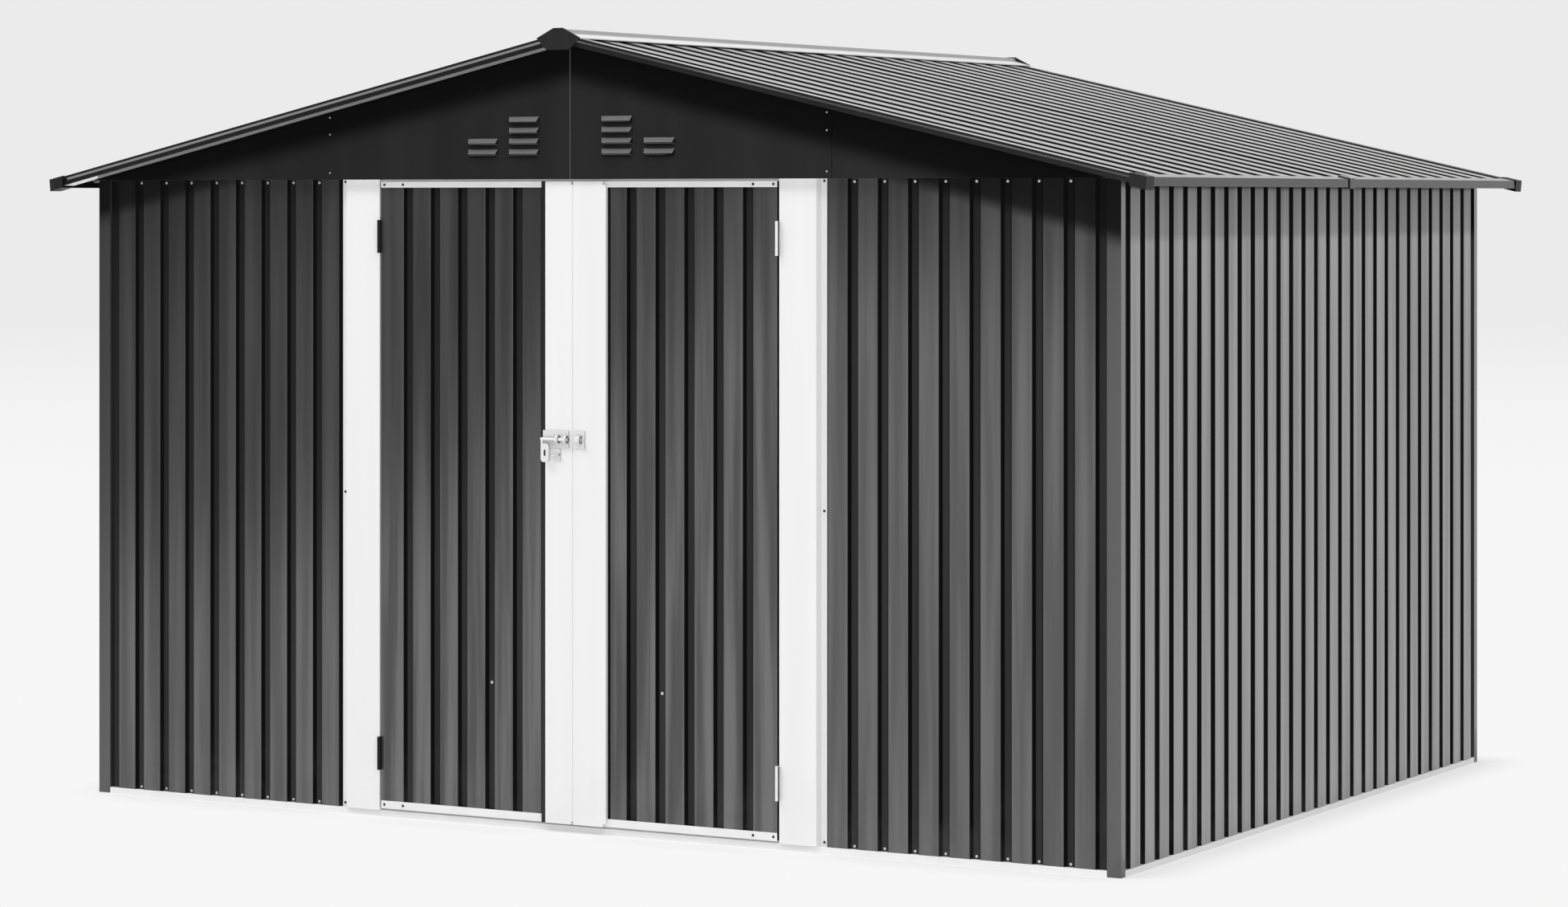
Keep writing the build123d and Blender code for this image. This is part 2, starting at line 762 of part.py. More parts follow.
with BuildPart() as latch_keeper:
    keeper_middle = meeting_half + latch_plate_inset + keeper_length / 2
    with Locations(stile_face * Pos(keeper_middle, 0, 0)):
        Box(keeper_length, latch_plate_height, latch_plate_gauge, align=on_face)
    bolt_loop(keeper_middle, keeper_loop_length, keeper_clearance)
keep(latch_keeper, "latch_keeper")

with BuildPart() as latch_bolt:
    with Locations(stile_face * Pos(-bolt_tip_inset - bolt_length / 2, 0, bolt_lift) * Rot(0, 90, 0)):
        Cylinder(bolt_radius, bolt_length)
    chamfer(latch_bolt.edges(), bolt_chamfer)
    tongue_back = bolt_lift + bolt_radius - tongue_gauge
    with Locations(stile_face * Pos(-neck_offset, 0, tongue_back)):
        Box(tongue_neck, tongue_length / 2, tongue_gauge, align=(Align.CENTER, Align.MAX, Align.MIN))
    tongue_top = -(guide_width / 2 + bolt_clearance * 2)
    with BuildSketch(stile_face * Pos(-tongue_offset, 0, tongue_back)) as tongue:
        with Locations((0, tongue_top - tongue_length / 2)):
            RectangleRounded(tongue_width, tongue_length, tongue_width / 3)
            SlotOverall(
                tongue_slot_length, tongue_slot_width, rotation=90, mode=Mode.SUBTRACT
            )
    extrude(tongue.sketch, amount=tongue_gauge)
keep(latch_bolt, "latch_bolt")
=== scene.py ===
# %% [markdown]
# # A metal storage shed
# The shed is a kit of folded steel: ribbed wall sheets, a shallow gable roof, white door frames and a slide
# bolt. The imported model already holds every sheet, rail and hinge in its right place, so this lesson
# dresses it. It sets the camera, the studio and the light, paints each finish with nodes, and adds screws
# and two strips.

# %% Load the frame
import math

import bpy
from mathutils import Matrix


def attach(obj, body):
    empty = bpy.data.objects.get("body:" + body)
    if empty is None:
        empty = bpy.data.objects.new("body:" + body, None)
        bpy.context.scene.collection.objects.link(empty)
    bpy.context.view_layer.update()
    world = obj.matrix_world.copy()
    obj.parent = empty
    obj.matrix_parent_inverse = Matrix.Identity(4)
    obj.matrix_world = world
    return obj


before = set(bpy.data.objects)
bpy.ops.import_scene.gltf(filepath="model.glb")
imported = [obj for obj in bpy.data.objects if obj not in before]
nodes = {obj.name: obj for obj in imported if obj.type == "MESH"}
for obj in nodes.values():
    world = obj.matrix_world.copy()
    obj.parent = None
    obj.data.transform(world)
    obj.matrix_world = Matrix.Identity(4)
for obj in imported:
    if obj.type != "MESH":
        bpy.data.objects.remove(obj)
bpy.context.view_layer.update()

scene = bpy.context.scene
scene.view_settings.view_transform = "Standard"

# %% [markdown]
# ## Camera
# The photograph was taken with a level camera whose lens is shifted down, so that upright edges stay
# upright. A tilted camera would make the posts lean. The shift keeps them parallel, as an architect's lens
# does.

# %% Camera
camera_data = bpy.data.cameras.new("level_camera")
camera_data.sensor_fit = "HORIZONTAL"
camera_data.sensor_width = 36.0
camera_data.lens = 98.52
camera_data.shift_y = -0.1622
camera_data.clip_end = 200.0
camera = bpy.data.objects.new("level_camera", camera_data)
camera.location = (5.6755, -10.2513, 1.576)
camera.rotation_euler = (math.radians(90), 0, math.radians(29.266))
scene.collection.objects.link(camera)
scene.camera = camera
print("camera height", round(camera.location.z, 3))

# %% [markdown]
# ## Node helpers
# Every tree below is a list of nodes and links. A few small helpers keep those lists readable: they make a
# node and fill its inputs, do a sum, ease one range of values into another, mix two colours, and read a
# place.

# %% Node helpers
def add(tree, kind, inputs=None, **settings):
    """Adds a node; an input is a value, or an output socket to link from."""
    made = tree.nodes.new(kind)
    for key, value in settings.items():
        setattr(made, key, value)
    for key, value in (inputs or {}).items():
        if isinstance(value, bpy.types.NodeSocket):
            tree.links.new(value, made.inputs[key])
        else:
            made.inputs[key].default_value = value
    return made


def sums(tree, operation, first, second=0.0, third=0.0):
    """One sum of up to three values."""
    values = {0: first, 1: second, 2: third}
    return add(tree, "ShaderNodeMath", values, operation=operation).outputs[0]


def spread(tree, value, low, high, start=0.0, end=1.0):
    """Eases a value from start to end while the input goes from low to high."""
    values = {"Value": value, "From Min": low, "From Max": high, "To Min": start, "To Max": end}
    return add(tree, "ShaderNodeMapRange", values, interpolation_type="SMOOTHSTEP").outputs[0]


def blend(tree, share, first, second):
    """Mixes two colours by a share."""
    made = add(tree, "ShaderNodeMix", data_type="RGBA")
    for index, value in ((0, share), (6, first), (7, second)):
        if isinstance(value, bpy.types.NodeSocket):
            tree.links.new(value, made.inputs[index])
        else:
            made.inputs[index].default_value = value
    return made.outputs[2]


def split(tree, vector):
    """The three parts of a vector."""
    return add(tree, "ShaderNodeSeparateXYZ", {0: vector}).outputs


def here(tree):
    """The shaded point in object coordinates, which stay with a door when it swings."""
    return add(tree, "ShaderNodeTexCoord").outputs["Object"]


def normal_of(tree):
    """The way the surface faces, in object coordinates."""
    return add(tree, "ShaderNodeTexCoord").outputs["Normal"]


def dot(tree, first, second):
    """How far one vector goes along another."""
    made = add(tree, "ShaderNodeVectorMath", {0: first, 1: second}, operation="DOT_PRODUCT")
    return made.outputs["Value"]


def grey(level):
    """An opaque neutral colour."""
    return (level, level, level, 1.0)


helpers = (add, sums, spread, blend, split, here, normal_of, dot, grey)
print("helpers", [helper.__name__ for helper in helpers])

# %% [markdown]
# ## Studio
# The background is a pale sweep with no visible edge. A world that the camera sees as pale gives that. Its
# light on dull surfaces is set apart, so that the white frames don't burn out, and so is what gloss
# mirrors: a bright low sky, which the roof shows at a grazing angle, and a dim ceiling above it.

# %% World
PALE = 0.83  # what the camera sees
SKY_LIGHT = 0.2  # glow on dull surfaces, at the horizon
SKY_TOP = 1.0  # the same glow, overhead
LOW_SKY = 1.0  # what gloss mirrors, low
CEILING = 0.12  # what gloss mirrors, high
HIGH_FROM = 0.62  # height of a mirrored ray where the ceiling starts
HIGH_TO = 0.92  # and where it is complete

world = bpy.data.worlds.new("pale_sweep")
scene.world = world
world.use_nodes = True
tree = world.node_tree
tree.nodes.clear()
path = add(tree, "ShaderNodeLightPath").outputs
mirrored_ray = sums(tree, "MAXIMUM", path["Is Glossy Ray"], path["Is Transmission Ray"])
seen = sums(tree, "MAXIMUM", path["Is Camera Ray"], mirrored_ray)
upward = split(tree, add(tree, "ShaderNodeTexCoord").outputs["Generated"])[2]
sky = spread(tree, upward, 0.0, 1.0, SKY_LIGHT, SKY_TOP)
glow = add(tree, "ShaderNodeBackground", {"Color": grey(1.0), "Strength": sky})
mirrored_sky = blend(tree, spread(tree, upward, HIGH_FROM, HIGH_TO), grey(LOW_SKY), grey(CEILING))
tone = blend(tree, mirrored_ray, grey(PALE), mirrored_sky)
sweep = add(tree, "ShaderNodeBackground", {"Color": tone, "Strength": 1.0})
mixed = add(tree, "ShaderNodeMixShader", {0: seen, 1: glow.outputs[0], 2: sweep.outputs[0]})
add(tree, "ShaderNodeOutputWorld", {"Surface": mixed.outputs[0]})
print("world seen", PALE, "glow", SKY_LIGHT, "to", SKY_TOP)

# %% [markdown]
# The floor is a wide disc. Close to the walls it is a dull surface that takes the shed's shadow. Further
# out it is an even pale tone, which fades into the tone of the background.

# %% Floor
FLOOR_RADIUS = 60.0
FLOOR_STEPS = 96
FLOOR_DROP = 0.0004  # a hair below the posts' feet
NEAR_FLOOR = 0.93
HAZE_FROM = 2.0
HAZE_TO = 0.85 * FLOOR_RADIUS
HALF_WIDTH = 1.49
HALF_DEPTH = 1.19
SHADOW_START = -0.15  # the shadow begins to fade here, from the walls outwards
SHADOW_REACH = 0.18
MOTTLE = {"Scale": 1.7, "Detail": 3.0}
MOTTLE_TONES = (grey(0.91), grey(0.95))

floor_mesh = bpy.data.meshes.new("floor")
turns = [math.tau * step / FLOOR_STEPS for step in range(FLOOR_STEPS)]
rim = [(FLOOR_RADIUS * math.cos(turn), FLOOR_RADIUS * math.sin(turn), 0) for turn in turns]
floor_mesh.from_pydata(rim, [], [range(FLOOR_STEPS)])
floor = bpy.data.objects.new("floor", floor_mesh)
floor.location.z = -FLOOR_DROP
scene.collection.objects.link(floor)

floor_paint = bpy.data.materials.new("pale_floor")
floor_paint.use_nodes = True
tree = floor_paint.node_tree
tree.nodes.clear()
place = here(tree)
away = add(tree, "ShaderNodeVectorMath", {0: place}, operation="LENGTH").outputs["Value"]
ground = split(tree, place)
beside = sums(tree, "SUBTRACT", sums(tree, "ABSOLUTE", ground[0]), HALF_WIDTH)
beside = sums(tree, "MAXIMUM", beside, 0.0)
before = sums(tree, "SUBTRACT", sums(tree, "ABSOLUTE", ground[1]), HALF_DEPTH)
before = sums(tree, "MAXIMUM", before, 0.0)
before_square = sums(tree, "MULTIPLY", before, before)
outside = sums(tree, "SQRT", sums(tree, "MULTIPLY_ADD", beside, beside, before_square))
mottle = add(tree, "ShaderNodeTexNoise", {"Vector": place, **MOTTLE}).outputs["Fac"]
near = add(tree, "ShaderNodeBsdfDiffuse", {"Color": blend(tree, mottle, *MOTTLE_TONES)})
haze = blend(tree, spread(tree, away, HAZE_FROM, HAZE_TO), grey(NEAR_FLOOR), grey(PALE))
far = add(tree, "ShaderNodeEmission", {"Color": haze, "Strength": 1.0})
clear = spread(tree, outside, SHADOW_START, SHADOW_REACH)
mixed = add(tree, "ShaderNodeMixShader", {0: clear, 1: near.outputs[0], 2: far.outputs[0]})
add(tree, "ShaderNodeOutputMaterial", {"Surface": mixed.outputs[0]})
floor_mesh.materials.append(floor_paint)
print("floor radius", FLOOR_RADIUS, "shadow reach", SHADOW_REACH)

# %% [markdown]
# ## Light
# The light in the photograph is flat and mostly frontal. A wide low panel in front gives that to the white
# frames, and it is hidden from gloss, so that the sheets don't show it. A panel high on the right lifts the
# side wall. A panel high on the left brings out the roof's left edge and the louvres' gloss.

# %% Lamps
def soft_panel(name, place, target, width, height, watts):
    """A rectangular lamp that faces a target."""
    data = bpy.data.lights.new(name, "AREA")
    data.shape = "RECTANGLE"
    data.size = width
    data.size_y = height
    data.energy = watts
    lamp = bpy.data.objects.new(name, data)
    lamp.location = place
    aim = [b - a for a, b in zip(place, target)]
    level = math.hypot(aim[0], aim[1])
    lamp.rotation_euler = (math.atan2(level, -aim[2]), 0, math.atan2(-aim[0], aim[1]))
    lamp.visible_camera = False
    scene.collection.objects.link(lamp)
    return lamp


soft_panel(
    "high_right_panel", place=(5.8, -5.4, 7.6), target=(0.3, -1.1, 1.0), width=2.4, height=2.4, watts=150,
)
soft_panel(
    "high_left_panel", place=(-4.5, -4.9, 8.5), target=(0.1, -1.2, 1.7), width=2.6, height=2.2, watts=285,
)
front_panel = soft_panel(
    "low_front_panel", place=(2.6, -9.5, 1.2), target=(0.0, -1.2, 1.0), width=6.0, height=1.8, watts=165,
)
front_panel.visible_glossy = False

# %% [markdown]
# A dark flag in front, to the left, is only there to be mirrored. It keeps the gloss of the upper sheets
# down, while their feet mirror the bright floor below the flag's edge.

# %% Dark flag
FLAG_FOOT = [
    (-16.0, -6.4, 0.0), (-5.2, -7.69, 0.0), (-3.3, -7.91, 1.2), (-2.6, -8.0, 1.5), (0.8, -8.4, 1.58),
]
FLAG_HEAD = [(0.8, -8.4, 4.5), (-16.0, -6.4, 4.5)]

flag_mesh = bpy.data.meshes.new("dark_flag")
flag_corners = FLAG_FOOT + FLAG_HEAD
flag_mesh.from_pydata(flag_corners, [], [range(len(flag_corners))])
flag = bpy.data.objects.new("dark_flag", flag_mesh)
scene.collection.objects.link(flag)
flag.visible_camera = False
flag.visible_diffuse = False
flag.visible_shadow = False
flag_cloth = bpy.data.materials.new("dark_flag")
flag_cloth.use_nodes = True
cloth = flag_cloth.node_tree.nodes["Principled BSDF"].inputs
cloth["Base Color"].default_value = grey(0.03)
cloth["Roughness"].default_value = 0.95
flag_mesh.materials.append(flag_cloth)
print("flag corners", len(flag_corners))

# %% [markdown]
# ## Shared effects
# Four effects return on several finishes, so each is a node group that is built once. The first tells where
# a point lies in a ribbed sheet: how deep below the crowns, and on which side of the steel. One facing
# serves both halves of the shed, because the left half is folded onto the right one.

# %% Ribbed sheet group
FLOOR_SHARE = (0.88, 0.97)  # share of the rib's depth where its floor starts
BELOW_SHARE = (0.02, 0.12)  # share of the rib's depth where its crown ends


def group_with(name, takes, gives):
    """An empty shader group with named inputs and outputs."""
    tree = bpy.data.node_groups.new(name, "ShaderNodeTree")
    for label, kind, value in takes:
        socket = tree.interface.new_socket(label, in_out="INPUT", socket_type=kind)
        socket.default_value = value
    for label in gives:
        tree.interface.new_socket(label, in_out="OUTPUT", socket_type="NodeSocketFloat")
    return tree, tree.nodes.new("NodeGroupInput").outputs, tree.nodes.new("NodeGroupOutput").inputs


def both_halves(tree, vector):
    """Folds the left half of the shed onto the right half, for a place or a normal."""
    side = sums(tree, "SIGN", split(tree, here(tree))[0])
    parts = split(tree, vector)
    folded_x = sums(tree, "MULTIPLY", parts[0], side)
    return add(tree, "ShaderNodeCombineXYZ", {0: folded_x, 1: parts[1], 2: parts[2]}).outputs[0]


takes = [
    ("Facing", "NodeSocketVector", (0, -1, 0)),
    ("Crown", "NodeSocketFloat", 1.186),
    ("Depth", "NodeSocketFloat", 0.01),
]
rib_group, given, result = group_with("ribbed_sheet", takes, ["Flank", "Floor", "Inside"])
tree = rib_group
level = dot(tree, both_halves(tree, here(tree)), given["Facing"])
outward = dot(tree, both_halves(tree, normal_of(tree)), given["Facing"])
share = sums(tree, "DIVIDE", sums(tree, "SUBTRACT", given["Crown"], level), given["Depth"])
floor_mask = spread(tree, share, *FLOOR_SHARE)
below = spread(tree, share, *BELOW_SHARE)
tree.links.new(sums(tree, "SUBTRACT", below, floor_mask), result["Flank"])
tree.links.new(floor_mask, result["Floor"])
tree.links.new(sums(tree, "LESS_THAN", outward, 0.0), result["Inside"])
print("group", rib_group.name)

# %% [markdown]
# Paint outdoors is never even. Rain leaves long upright streaks, dust settles near the ground, and a
# sprayed coat has a fine orange-peel skin. The second group gives all three as plain masks.

# %% Weather group
DUST_PATCHES = {"Scale": 9.0, "Detail": 6.0, "Roughness": 0.62}
PATCH_RANGE = (0.38, 0.72)
STREAK_STRETCH = (1.0, 1.0, 0.035)  # a small upright scale draws the noise out into runs
STREAK_RANGE = (0.3, 0.7)

takes = [
    ("Dust Height", "NodeSocketFloat", 0.22),
    ("Streak Width", "NodeSocketFloat", 26.0),
    ("Grain", "NodeSocketFloat", 700.0),
]
weather_group, given, result = group_with("weather", takes, ["Dust", "Streaks", "Skin"])
tree = weather_group
place = here(tree)
falling = sums(tree, "DIVIDE", split(tree, place)[2], given["Dust Height"])
settled = spread(tree, falling, 0.0, 1.0, 1.0, 0.0)
patches = add(tree, "ShaderNodeTexNoise", {"Vector": place, **DUST_PATCHES}).outputs["Fac"]
lively = spread(tree, patches, *PATCH_RANGE)
tree.links.new(sums(tree, "MULTIPLY", settled, lively), result["Dust"])
tall = add(tree, "ShaderNodeMapping", {"Vector": place, "Scale": STREAK_STRETCH}).outputs[0]
runs = add(tree, "ShaderNodeTexNoise", {"Vector": tall, "Scale": given["Streak Width"], "Detail": 3.0})
tree.links.new(spread(tree, runs.outputs["Fac"], *STREAK_RANGE), result["Streaks"])
skin = add(tree, "ShaderNodeTexNoise", {"Vector": place, "Scale": given["Grain"], "Detail": 2.0})
tree.links.new(skin.outputs["Fac"], result["Skin"])
print("group", weather_group.name)

# %% [markdown]
# Zinc grows in flat crystals, which show as a patchwork called spangle. The third group is a cell pattern
# with a little scatter; large cells suit galvanised rails, tiny ones suit plated hinges and screws.

# %% Spangle group
SPANGLE_SKIN = {"Scale": 420.0, "Detail": 3.0}

takes = [("Cell", "NodeSocketFloat", 90.0)]
spangle_group, given, result = group_with("spangle", takes, ["Patch", "Skin"])
tree = spangle_group
place = here(tree)
cells = add(tree, "ShaderNodeTexVoronoi", {"Vector": place, "Scale": given["Cell"], "Randomness": 1.0})
patch = add(tree, "ShaderNodeSeparateColor", {0: cells.outputs["Color"]}).outputs[0]
tree.links.new(patch, result["Patch"])
scatter = add(tree, "ShaderNodeTexNoise", {"Vector": place, **SPANGLE_SKIN})
tree.links.new(scatter.outputs["Fac"], result["Skin"])
print("group", spangle_group.name)

# %% [markdown]
# The ends below the roof's edge get a painted shade: the coat turns to a deeper tone there. The fourth group
# measures how far a place lies below the roof line and gives the share of that painted shade strip, on the
# front and the back. The strip grows a little towards the right.

# %% Roof shade group
ROOF_TOP = 1.984  # height of the roof line above the middle
ROOF_FALL = -0.2257  # its fall for each metre to the side
SHADE_LEAN = 0.016  # growth of the strip for each metre to the right
END_FACING = 0.5  # least lean towards the front or back of a face that takes the strip

takes = [("Reach", "NodeSocketFloat", 0.1), ("Soft", "NodeSocketFloat", 0.03)]
shade_group, given, result = group_with("roof_shade", takes, ["Shade"])
tree = shade_group
place = split(tree, here(tree))
roof_line = sums(tree, "MULTIPLY_ADD", sums(tree, "ABSOLUTE", place[0]), ROOF_FALL, ROOF_TOP)
drop = sums(tree, "SUBTRACT", roof_line, place[2])
leaning = sums(tree, "MULTIPLY_ADD", place[0], SHADE_LEAN, given["Reach"])
start = sums(tree, "SUBTRACT", leaning, given["Soft"])
stop = sums(tree, "ADD", leaning, given["Soft"])
endwise = sums(tree, "ABSOLUTE", split(tree, normal_of(tree))[1])
faced = sums(tree, "GREATER_THAN", endwise, END_FACING)
# painted shade strip below the roof line, on faces towards the front or back
strip = sums(tree, "MULTIPLY", spread(tree, drop, start, stop, 1.0, 0.0), faced)
tree.links.new(strip, result["Shade"])
print("group", shade_group.name)

# %% [markdown]
# ## Material helpers
# Every finish starts as an empty tree with one surface shader. Groups are placed in it by name with their
# own values, and a fine bump from a noise keeps the skin from looking like glass.

# %% Material helpers
def new_material(name):
    """A material with an empty tree, its surface shader and its output."""
    made = bpy.data.materials.new(name)
    made.use_nodes = True
    tree = made.node_tree
    tree.nodes.clear()
    shader = add(tree, "ShaderNodeBsdfPrincipled")
    add(tree, "ShaderNodeOutputMaterial", {"Surface": shader.outputs[0]})
    return made, tree, shader


def use(tree, group, **values):
    """Places a shared group in a material with its own values."""
    made = add(tree, "ShaderNodeGroup", node_tree=group)
    for key, value in values.items():
        made.inputs[key.replace("_", " ").title()].default_value = value
    return made.outputs


def dress_normal(tree, shader, skin, distance):
    """Gives the shader a fine bump from a height."""
    bump = add(tree, "ShaderNodeBump", {"Height": skin, "Distance": distance, "Strength": 1.0})
    tree.links.new(bump.outputs[0], shader.inputs["Normal"])


def set_gloss(shader, satin, mirror):
    """A dull paint under a clear gloss; a higher mirror index gives a stronger gloss."""
    shader.inputs["Specular IOR Level"].default_value = 0.06
    shader.inputs["Coat Roughness"].default_value = satin
    shader.inputs["Coat IOR"].default_value = mirror


print("helpers", [helper.__name__ for helper in (new_material, use, dress_normal, set_gloss)])

# %% [markdown]
# ## Dark sheet paint
# The ribbed sheets are thin steel with a dark coat on the weather side and a pale primer inside. The coat is
# dull below and has a gloss on top, a coat weight. The grooves' floors and flanks get a painted shade: a
# darker tone, and the gloss goes only with the crowns. Painted shade also keeps the gloss off three more
# places: the strip below the roof line, the band below the eaves on the sides, and the tight folds, which is
# a strip beside the door stiles and a line along each bend of the roof. Upright streaks vary the tone and
# the gloss of the coat, partly rain streaks and partly a painted reflection of the light bands on wavy
# steel.

# %% Sheet paint masks
NOWHERE = -1.0  # a reach or an edge that no place has
NO_EAVE = 9.0  # a height above the shed
FADE = 0.2  # reach of the soft shade below the strip
FADE_SHARE = 0.3
# painted shade below the eaves, in three steps
EAVE_STEPS = ((0.0, 0.03, 0.3), (0.02, 0.15, 0.14), (0.128, 0.143, 0.35))  # start, end, share added
# a painted shade strip lies beside the stiles and along the roof's bends
STILE_SHIFT = 0.0044  # the strip beside the stiles lies a little to the right
EDGE_SOFT = 0.002
BEND_SHADE = 0.0275  # from the middle of a roof groove to the bend
BEND_SOFT = 0.001


def roof_and_eave_shade(tree, reach, eave):
    """The share of painted shade below the roof line on the ends, and below the eaves on the sides."""
    near_roof = use(tree, shade_group, reach=reach)["Shade"]
    below_roof = use(tree, shade_group, reach=reach + FADE, soft=FADE)["Shade"]
    roof_band = sums(tree, "MAXIMUM", near_roof, sums(tree, "MULTIPLY", below_roof, FADE_SHARE))
    up = split(tree, here(tree))[2]
    below_eave = 0.0
    for start, end, share in EAVE_STEPS:
        step = spread(tree, up, eave + start, eave + end, 0.0, share)
        below_eave = sums(tree, "ADD", below_eave, step)
    return sums(tree, "MAXIMUM", roof_band, below_eave)


def stile_and_bend_shade(tree, ribs, edge, pitch):
    """Painted shade beside the stiles up to an edge or, with a pitch, along the bends of a roof."""
    place = split(tree, here(tree))
    if pitch:
        bend = pitch / 2 - BEND_SHADE
        from_crown = sums(tree, "PINGPONG", place[1], pitch / 2)
        beyond = spread(tree, from_crown, bend - BEND_SOFT, bend + BEND_SOFT)
        return sums(tree, "MULTIPLY", beyond, sums(tree, "SUBTRACT", 1.0, ribs["Floor"]))
    off_middle = sums(tree, "ABSOLUTE", sums(tree, "SUBTRACT", place[0], STILE_SHIFT))
    return spread(tree, off_middle, edge, edge + EDGE_SOFT, 1.0, 0.0)


print("eave steps", len(EAVE_STEPS), "bend", BEND_SHADE)

# %% [markdown]
# The recipe mixes these masks in order: streaked coat, painted shade on the groove floors and flanks, dust,
# painted shade below the roof, the eaves and in the folds, and the primer inside. Each wall gets the same
# recipe with its own facing.

# %% Sheet paint
PRIMER_TONES = (grey(0.47), grey(0.5))
DUST = grey(0.2)
DUST_SHARE = 0.1
STREAK_TONES = (0.76, 1.24)  # these tones are shares of the coat's own
# tone of the painted shade on the groove flanks, a share of the coat's own
FLANK_SHADE = 0.06
# tone of the painted shade, a share of the coat's own
SHADE_TONE = 0.1
SHEET_ROUGH = (0.52, 0.62)
SHADE_HOLD = 0.9  # share of the painted shade that reaches the base tone
FINE_PEEL = 0.00012


def sheet_paint(
    name, facing, crown, depth, dark, satin, mirror, floor_shade=0.34, vary=0.4, peel=FINE_PEEL,
    reach=NOWHERE, edge=NOWHERE, pitch=0.0, eave=NO_EAVE,
):
    """Dark coat outside, with painted shade on the flanks and floors of its folds, and pale primer inside.
    """
    made, tree, shader = new_material(name)
    ribs = use(tree, rib_group, facing=facing, crown=crown, depth=depth)
    air = use(tree, weather_group)
    shade = roof_and_eave_shade(tree, reach, eave)
    fold_shade = stile_and_bend_shade(tree, ribs, edge, pitch)

    # upright streaks in the coat's tone, partly rain streaks and partly a painted reflection of wavy steel
    coat = blend(tree, air["Streaks"], *[grey(dark * tone) for tone in STREAK_TONES])
    # painted shade on the groove floors, then on the flanks
    floor_shaded = blend(tree, ribs["Floor"], coat, grey(dark * floor_shade))
    flank_shaded = blend(tree, ribs["Flank"], floor_shaded, grey(dark * FLANK_SHADE))
    dusty = blend(tree, sums(tree, "MULTIPLY", air["Dust"], DUST_SHARE), flank_shaded, DUST)
    # painted shade: the coat turns to its deeper tone below the roof, below the eaves and in the folds
    shade_share = sums(tree, "MAXIMUM", sums(tree, "MULTIPLY", shade, SHADE_HOLD), fold_shade)
    shaded_coat = blend(tree, shade_share, dusty, grey(dark * SHADE_TONE))
    lining = blend(tree, air["Streaks"], *PRIMER_TONES)
    tree.links.new(blend(tree, ribs["Inside"], shaded_coat, lining), shader.inputs["Base Color"])
    tree.links.new(spread(tree, air["Streaks"], 0.0, 1.0, *SHEET_ROUGH), shader.inputs["Roughness"])

    # painted shade also takes the gloss off the groove floors and flanks
    groove_shade = sums(tree, "MULTIPLY_ADD", ribs["Floor"], 1.0 - floor_shade / 2, ribs["Flank"])
    crowns = sums(tree, "SUBTRACT", 1.0, sums(tree, "MAXIMUM", groove_shade, ribs["Inside"]))
    # the streaks vary the crowns' gloss, partly rain streaks and partly a painted reflection of the light
    # bands on wavy steel
    glossy = sums(tree, "MULTIPLY", crowns, spread(tree, air["Streaks"], 0.0, 1.0, vary, 1.0))
    open_share = sums(tree, "SUBTRACT", 1.0, sums(tree, "MAXIMUM", shade, fold_shade))
    tree.links.new(sums(tree, "MULTIPLY", glossy, open_share), shader.inputs["Coat Weight"])
    set_gloss(shader, satin, mirror)
    dress_normal(tree, shader, air["Skin"], peel)
    return made


WALL_RIB = 0.01  # depth of the ribs
ROOF_RIB = 0.007
WALL_SHADE = 0.148  # reach of the strip below the roof line
EAVE_SHADE = 1.467  # height where the band below the eaves starts
STILE_EDGE = 0.0898  # outer edge of the meeting stiles
STILE_SHADE = 0.0111  # width of the painted shade beside them
ROOF_PITCH = 0.113
ROOF_TILT = math.radians(12.72)
ROOF_CROWN = ROOF_TOP * math.cos(ROOF_TILT)
ROOF_FACING = (math.sin(ROOF_TILT), 0, math.cos(ROOF_TILT))
front_paint = sheet_paint(
    "front_sheet_paint", facing=(0, -1, 0), crown=1.186, depth=WALL_RIB, dark=0.045, satin=0.18, mirror=2.0,
    reach=WALL_SHADE, vary=0.65,
)
door_paint = sheet_paint(
    "door_sheet_paint", facing=(0, -1, 0), crown=1.192, depth=WALL_RIB, dark=0.045, satin=0.18, mirror=2.1,
    edge=STILE_EDGE + STILE_SHADE,
)
side_paint = sheet_paint(
    "side_sheet_paint", facing=(1, 0, 0), crown=1.4922, depth=WALL_RIB, dark=0.05, satin=0.2, mirror=3.1,
    vary=0.8, eave=EAVE_SHADE,
)
rear_paint = sheet_paint(
    "rear_sheet_paint", facing=(0, 1, 0), crown=1.1862, depth=WALL_RIB, dark=0.045, satin=0.18, mirror=2.0,
    reach=WALL_SHADE, vary=0.65,
)
roof_paint = sheet_paint(
    "roof_sheet_paint", facing=ROOF_FACING, crown=ROOF_CROWN, depth=ROOF_RIB, dark=0.03, satin=0.2,
    mirror=2.8, floor_shade=0.6, vary=0.95, peel=0.00002, pitch=ROOF_PITCH,
)
sheet_paints = (front_paint, door_paint, side_paint, rear_paint, roof_paint)
print("sheet paints", [paint.name for paint in sheet_paints])

# %% [markdown]
# ## Gable and trim paint
# The gable panels are flat, pressed with louvres, and the shade of the roof's edge is painted on them. They
# take the same dark coat with less gloss. Painted shade darkens the corners below the louvres' hoods, and a
# thin pale line, a painted highlight, marks the middle seam. Posts, rakes and eave trims are plain folds,
# and the underside of the rakes is painted pale as a painted reflection.

# %% Gable and trim paint
DOWN_FACING = -0.85
FACE_RANGE = (0.9, 0.97)  # lean towards the front or back where a face counts as flat
SEAM_SOFT = 0.0006
SEAM_HIGHLIGHT = grey(0.09)
CORNER_DISTANCE = 0.035
CORNER_RANGE = (0.6, 0.98)
# tone of the painted shade, a share of the coat's own
CORNER_TONE = 0.06
FLAT_TONES = (0.88, 1.12)
FLAT_STREAKS = 9.0
FLAT_DUST = 0.2
FLAT_ROUGH = (0.5, 0.6)
DUSTY_GLOSS = 0.4


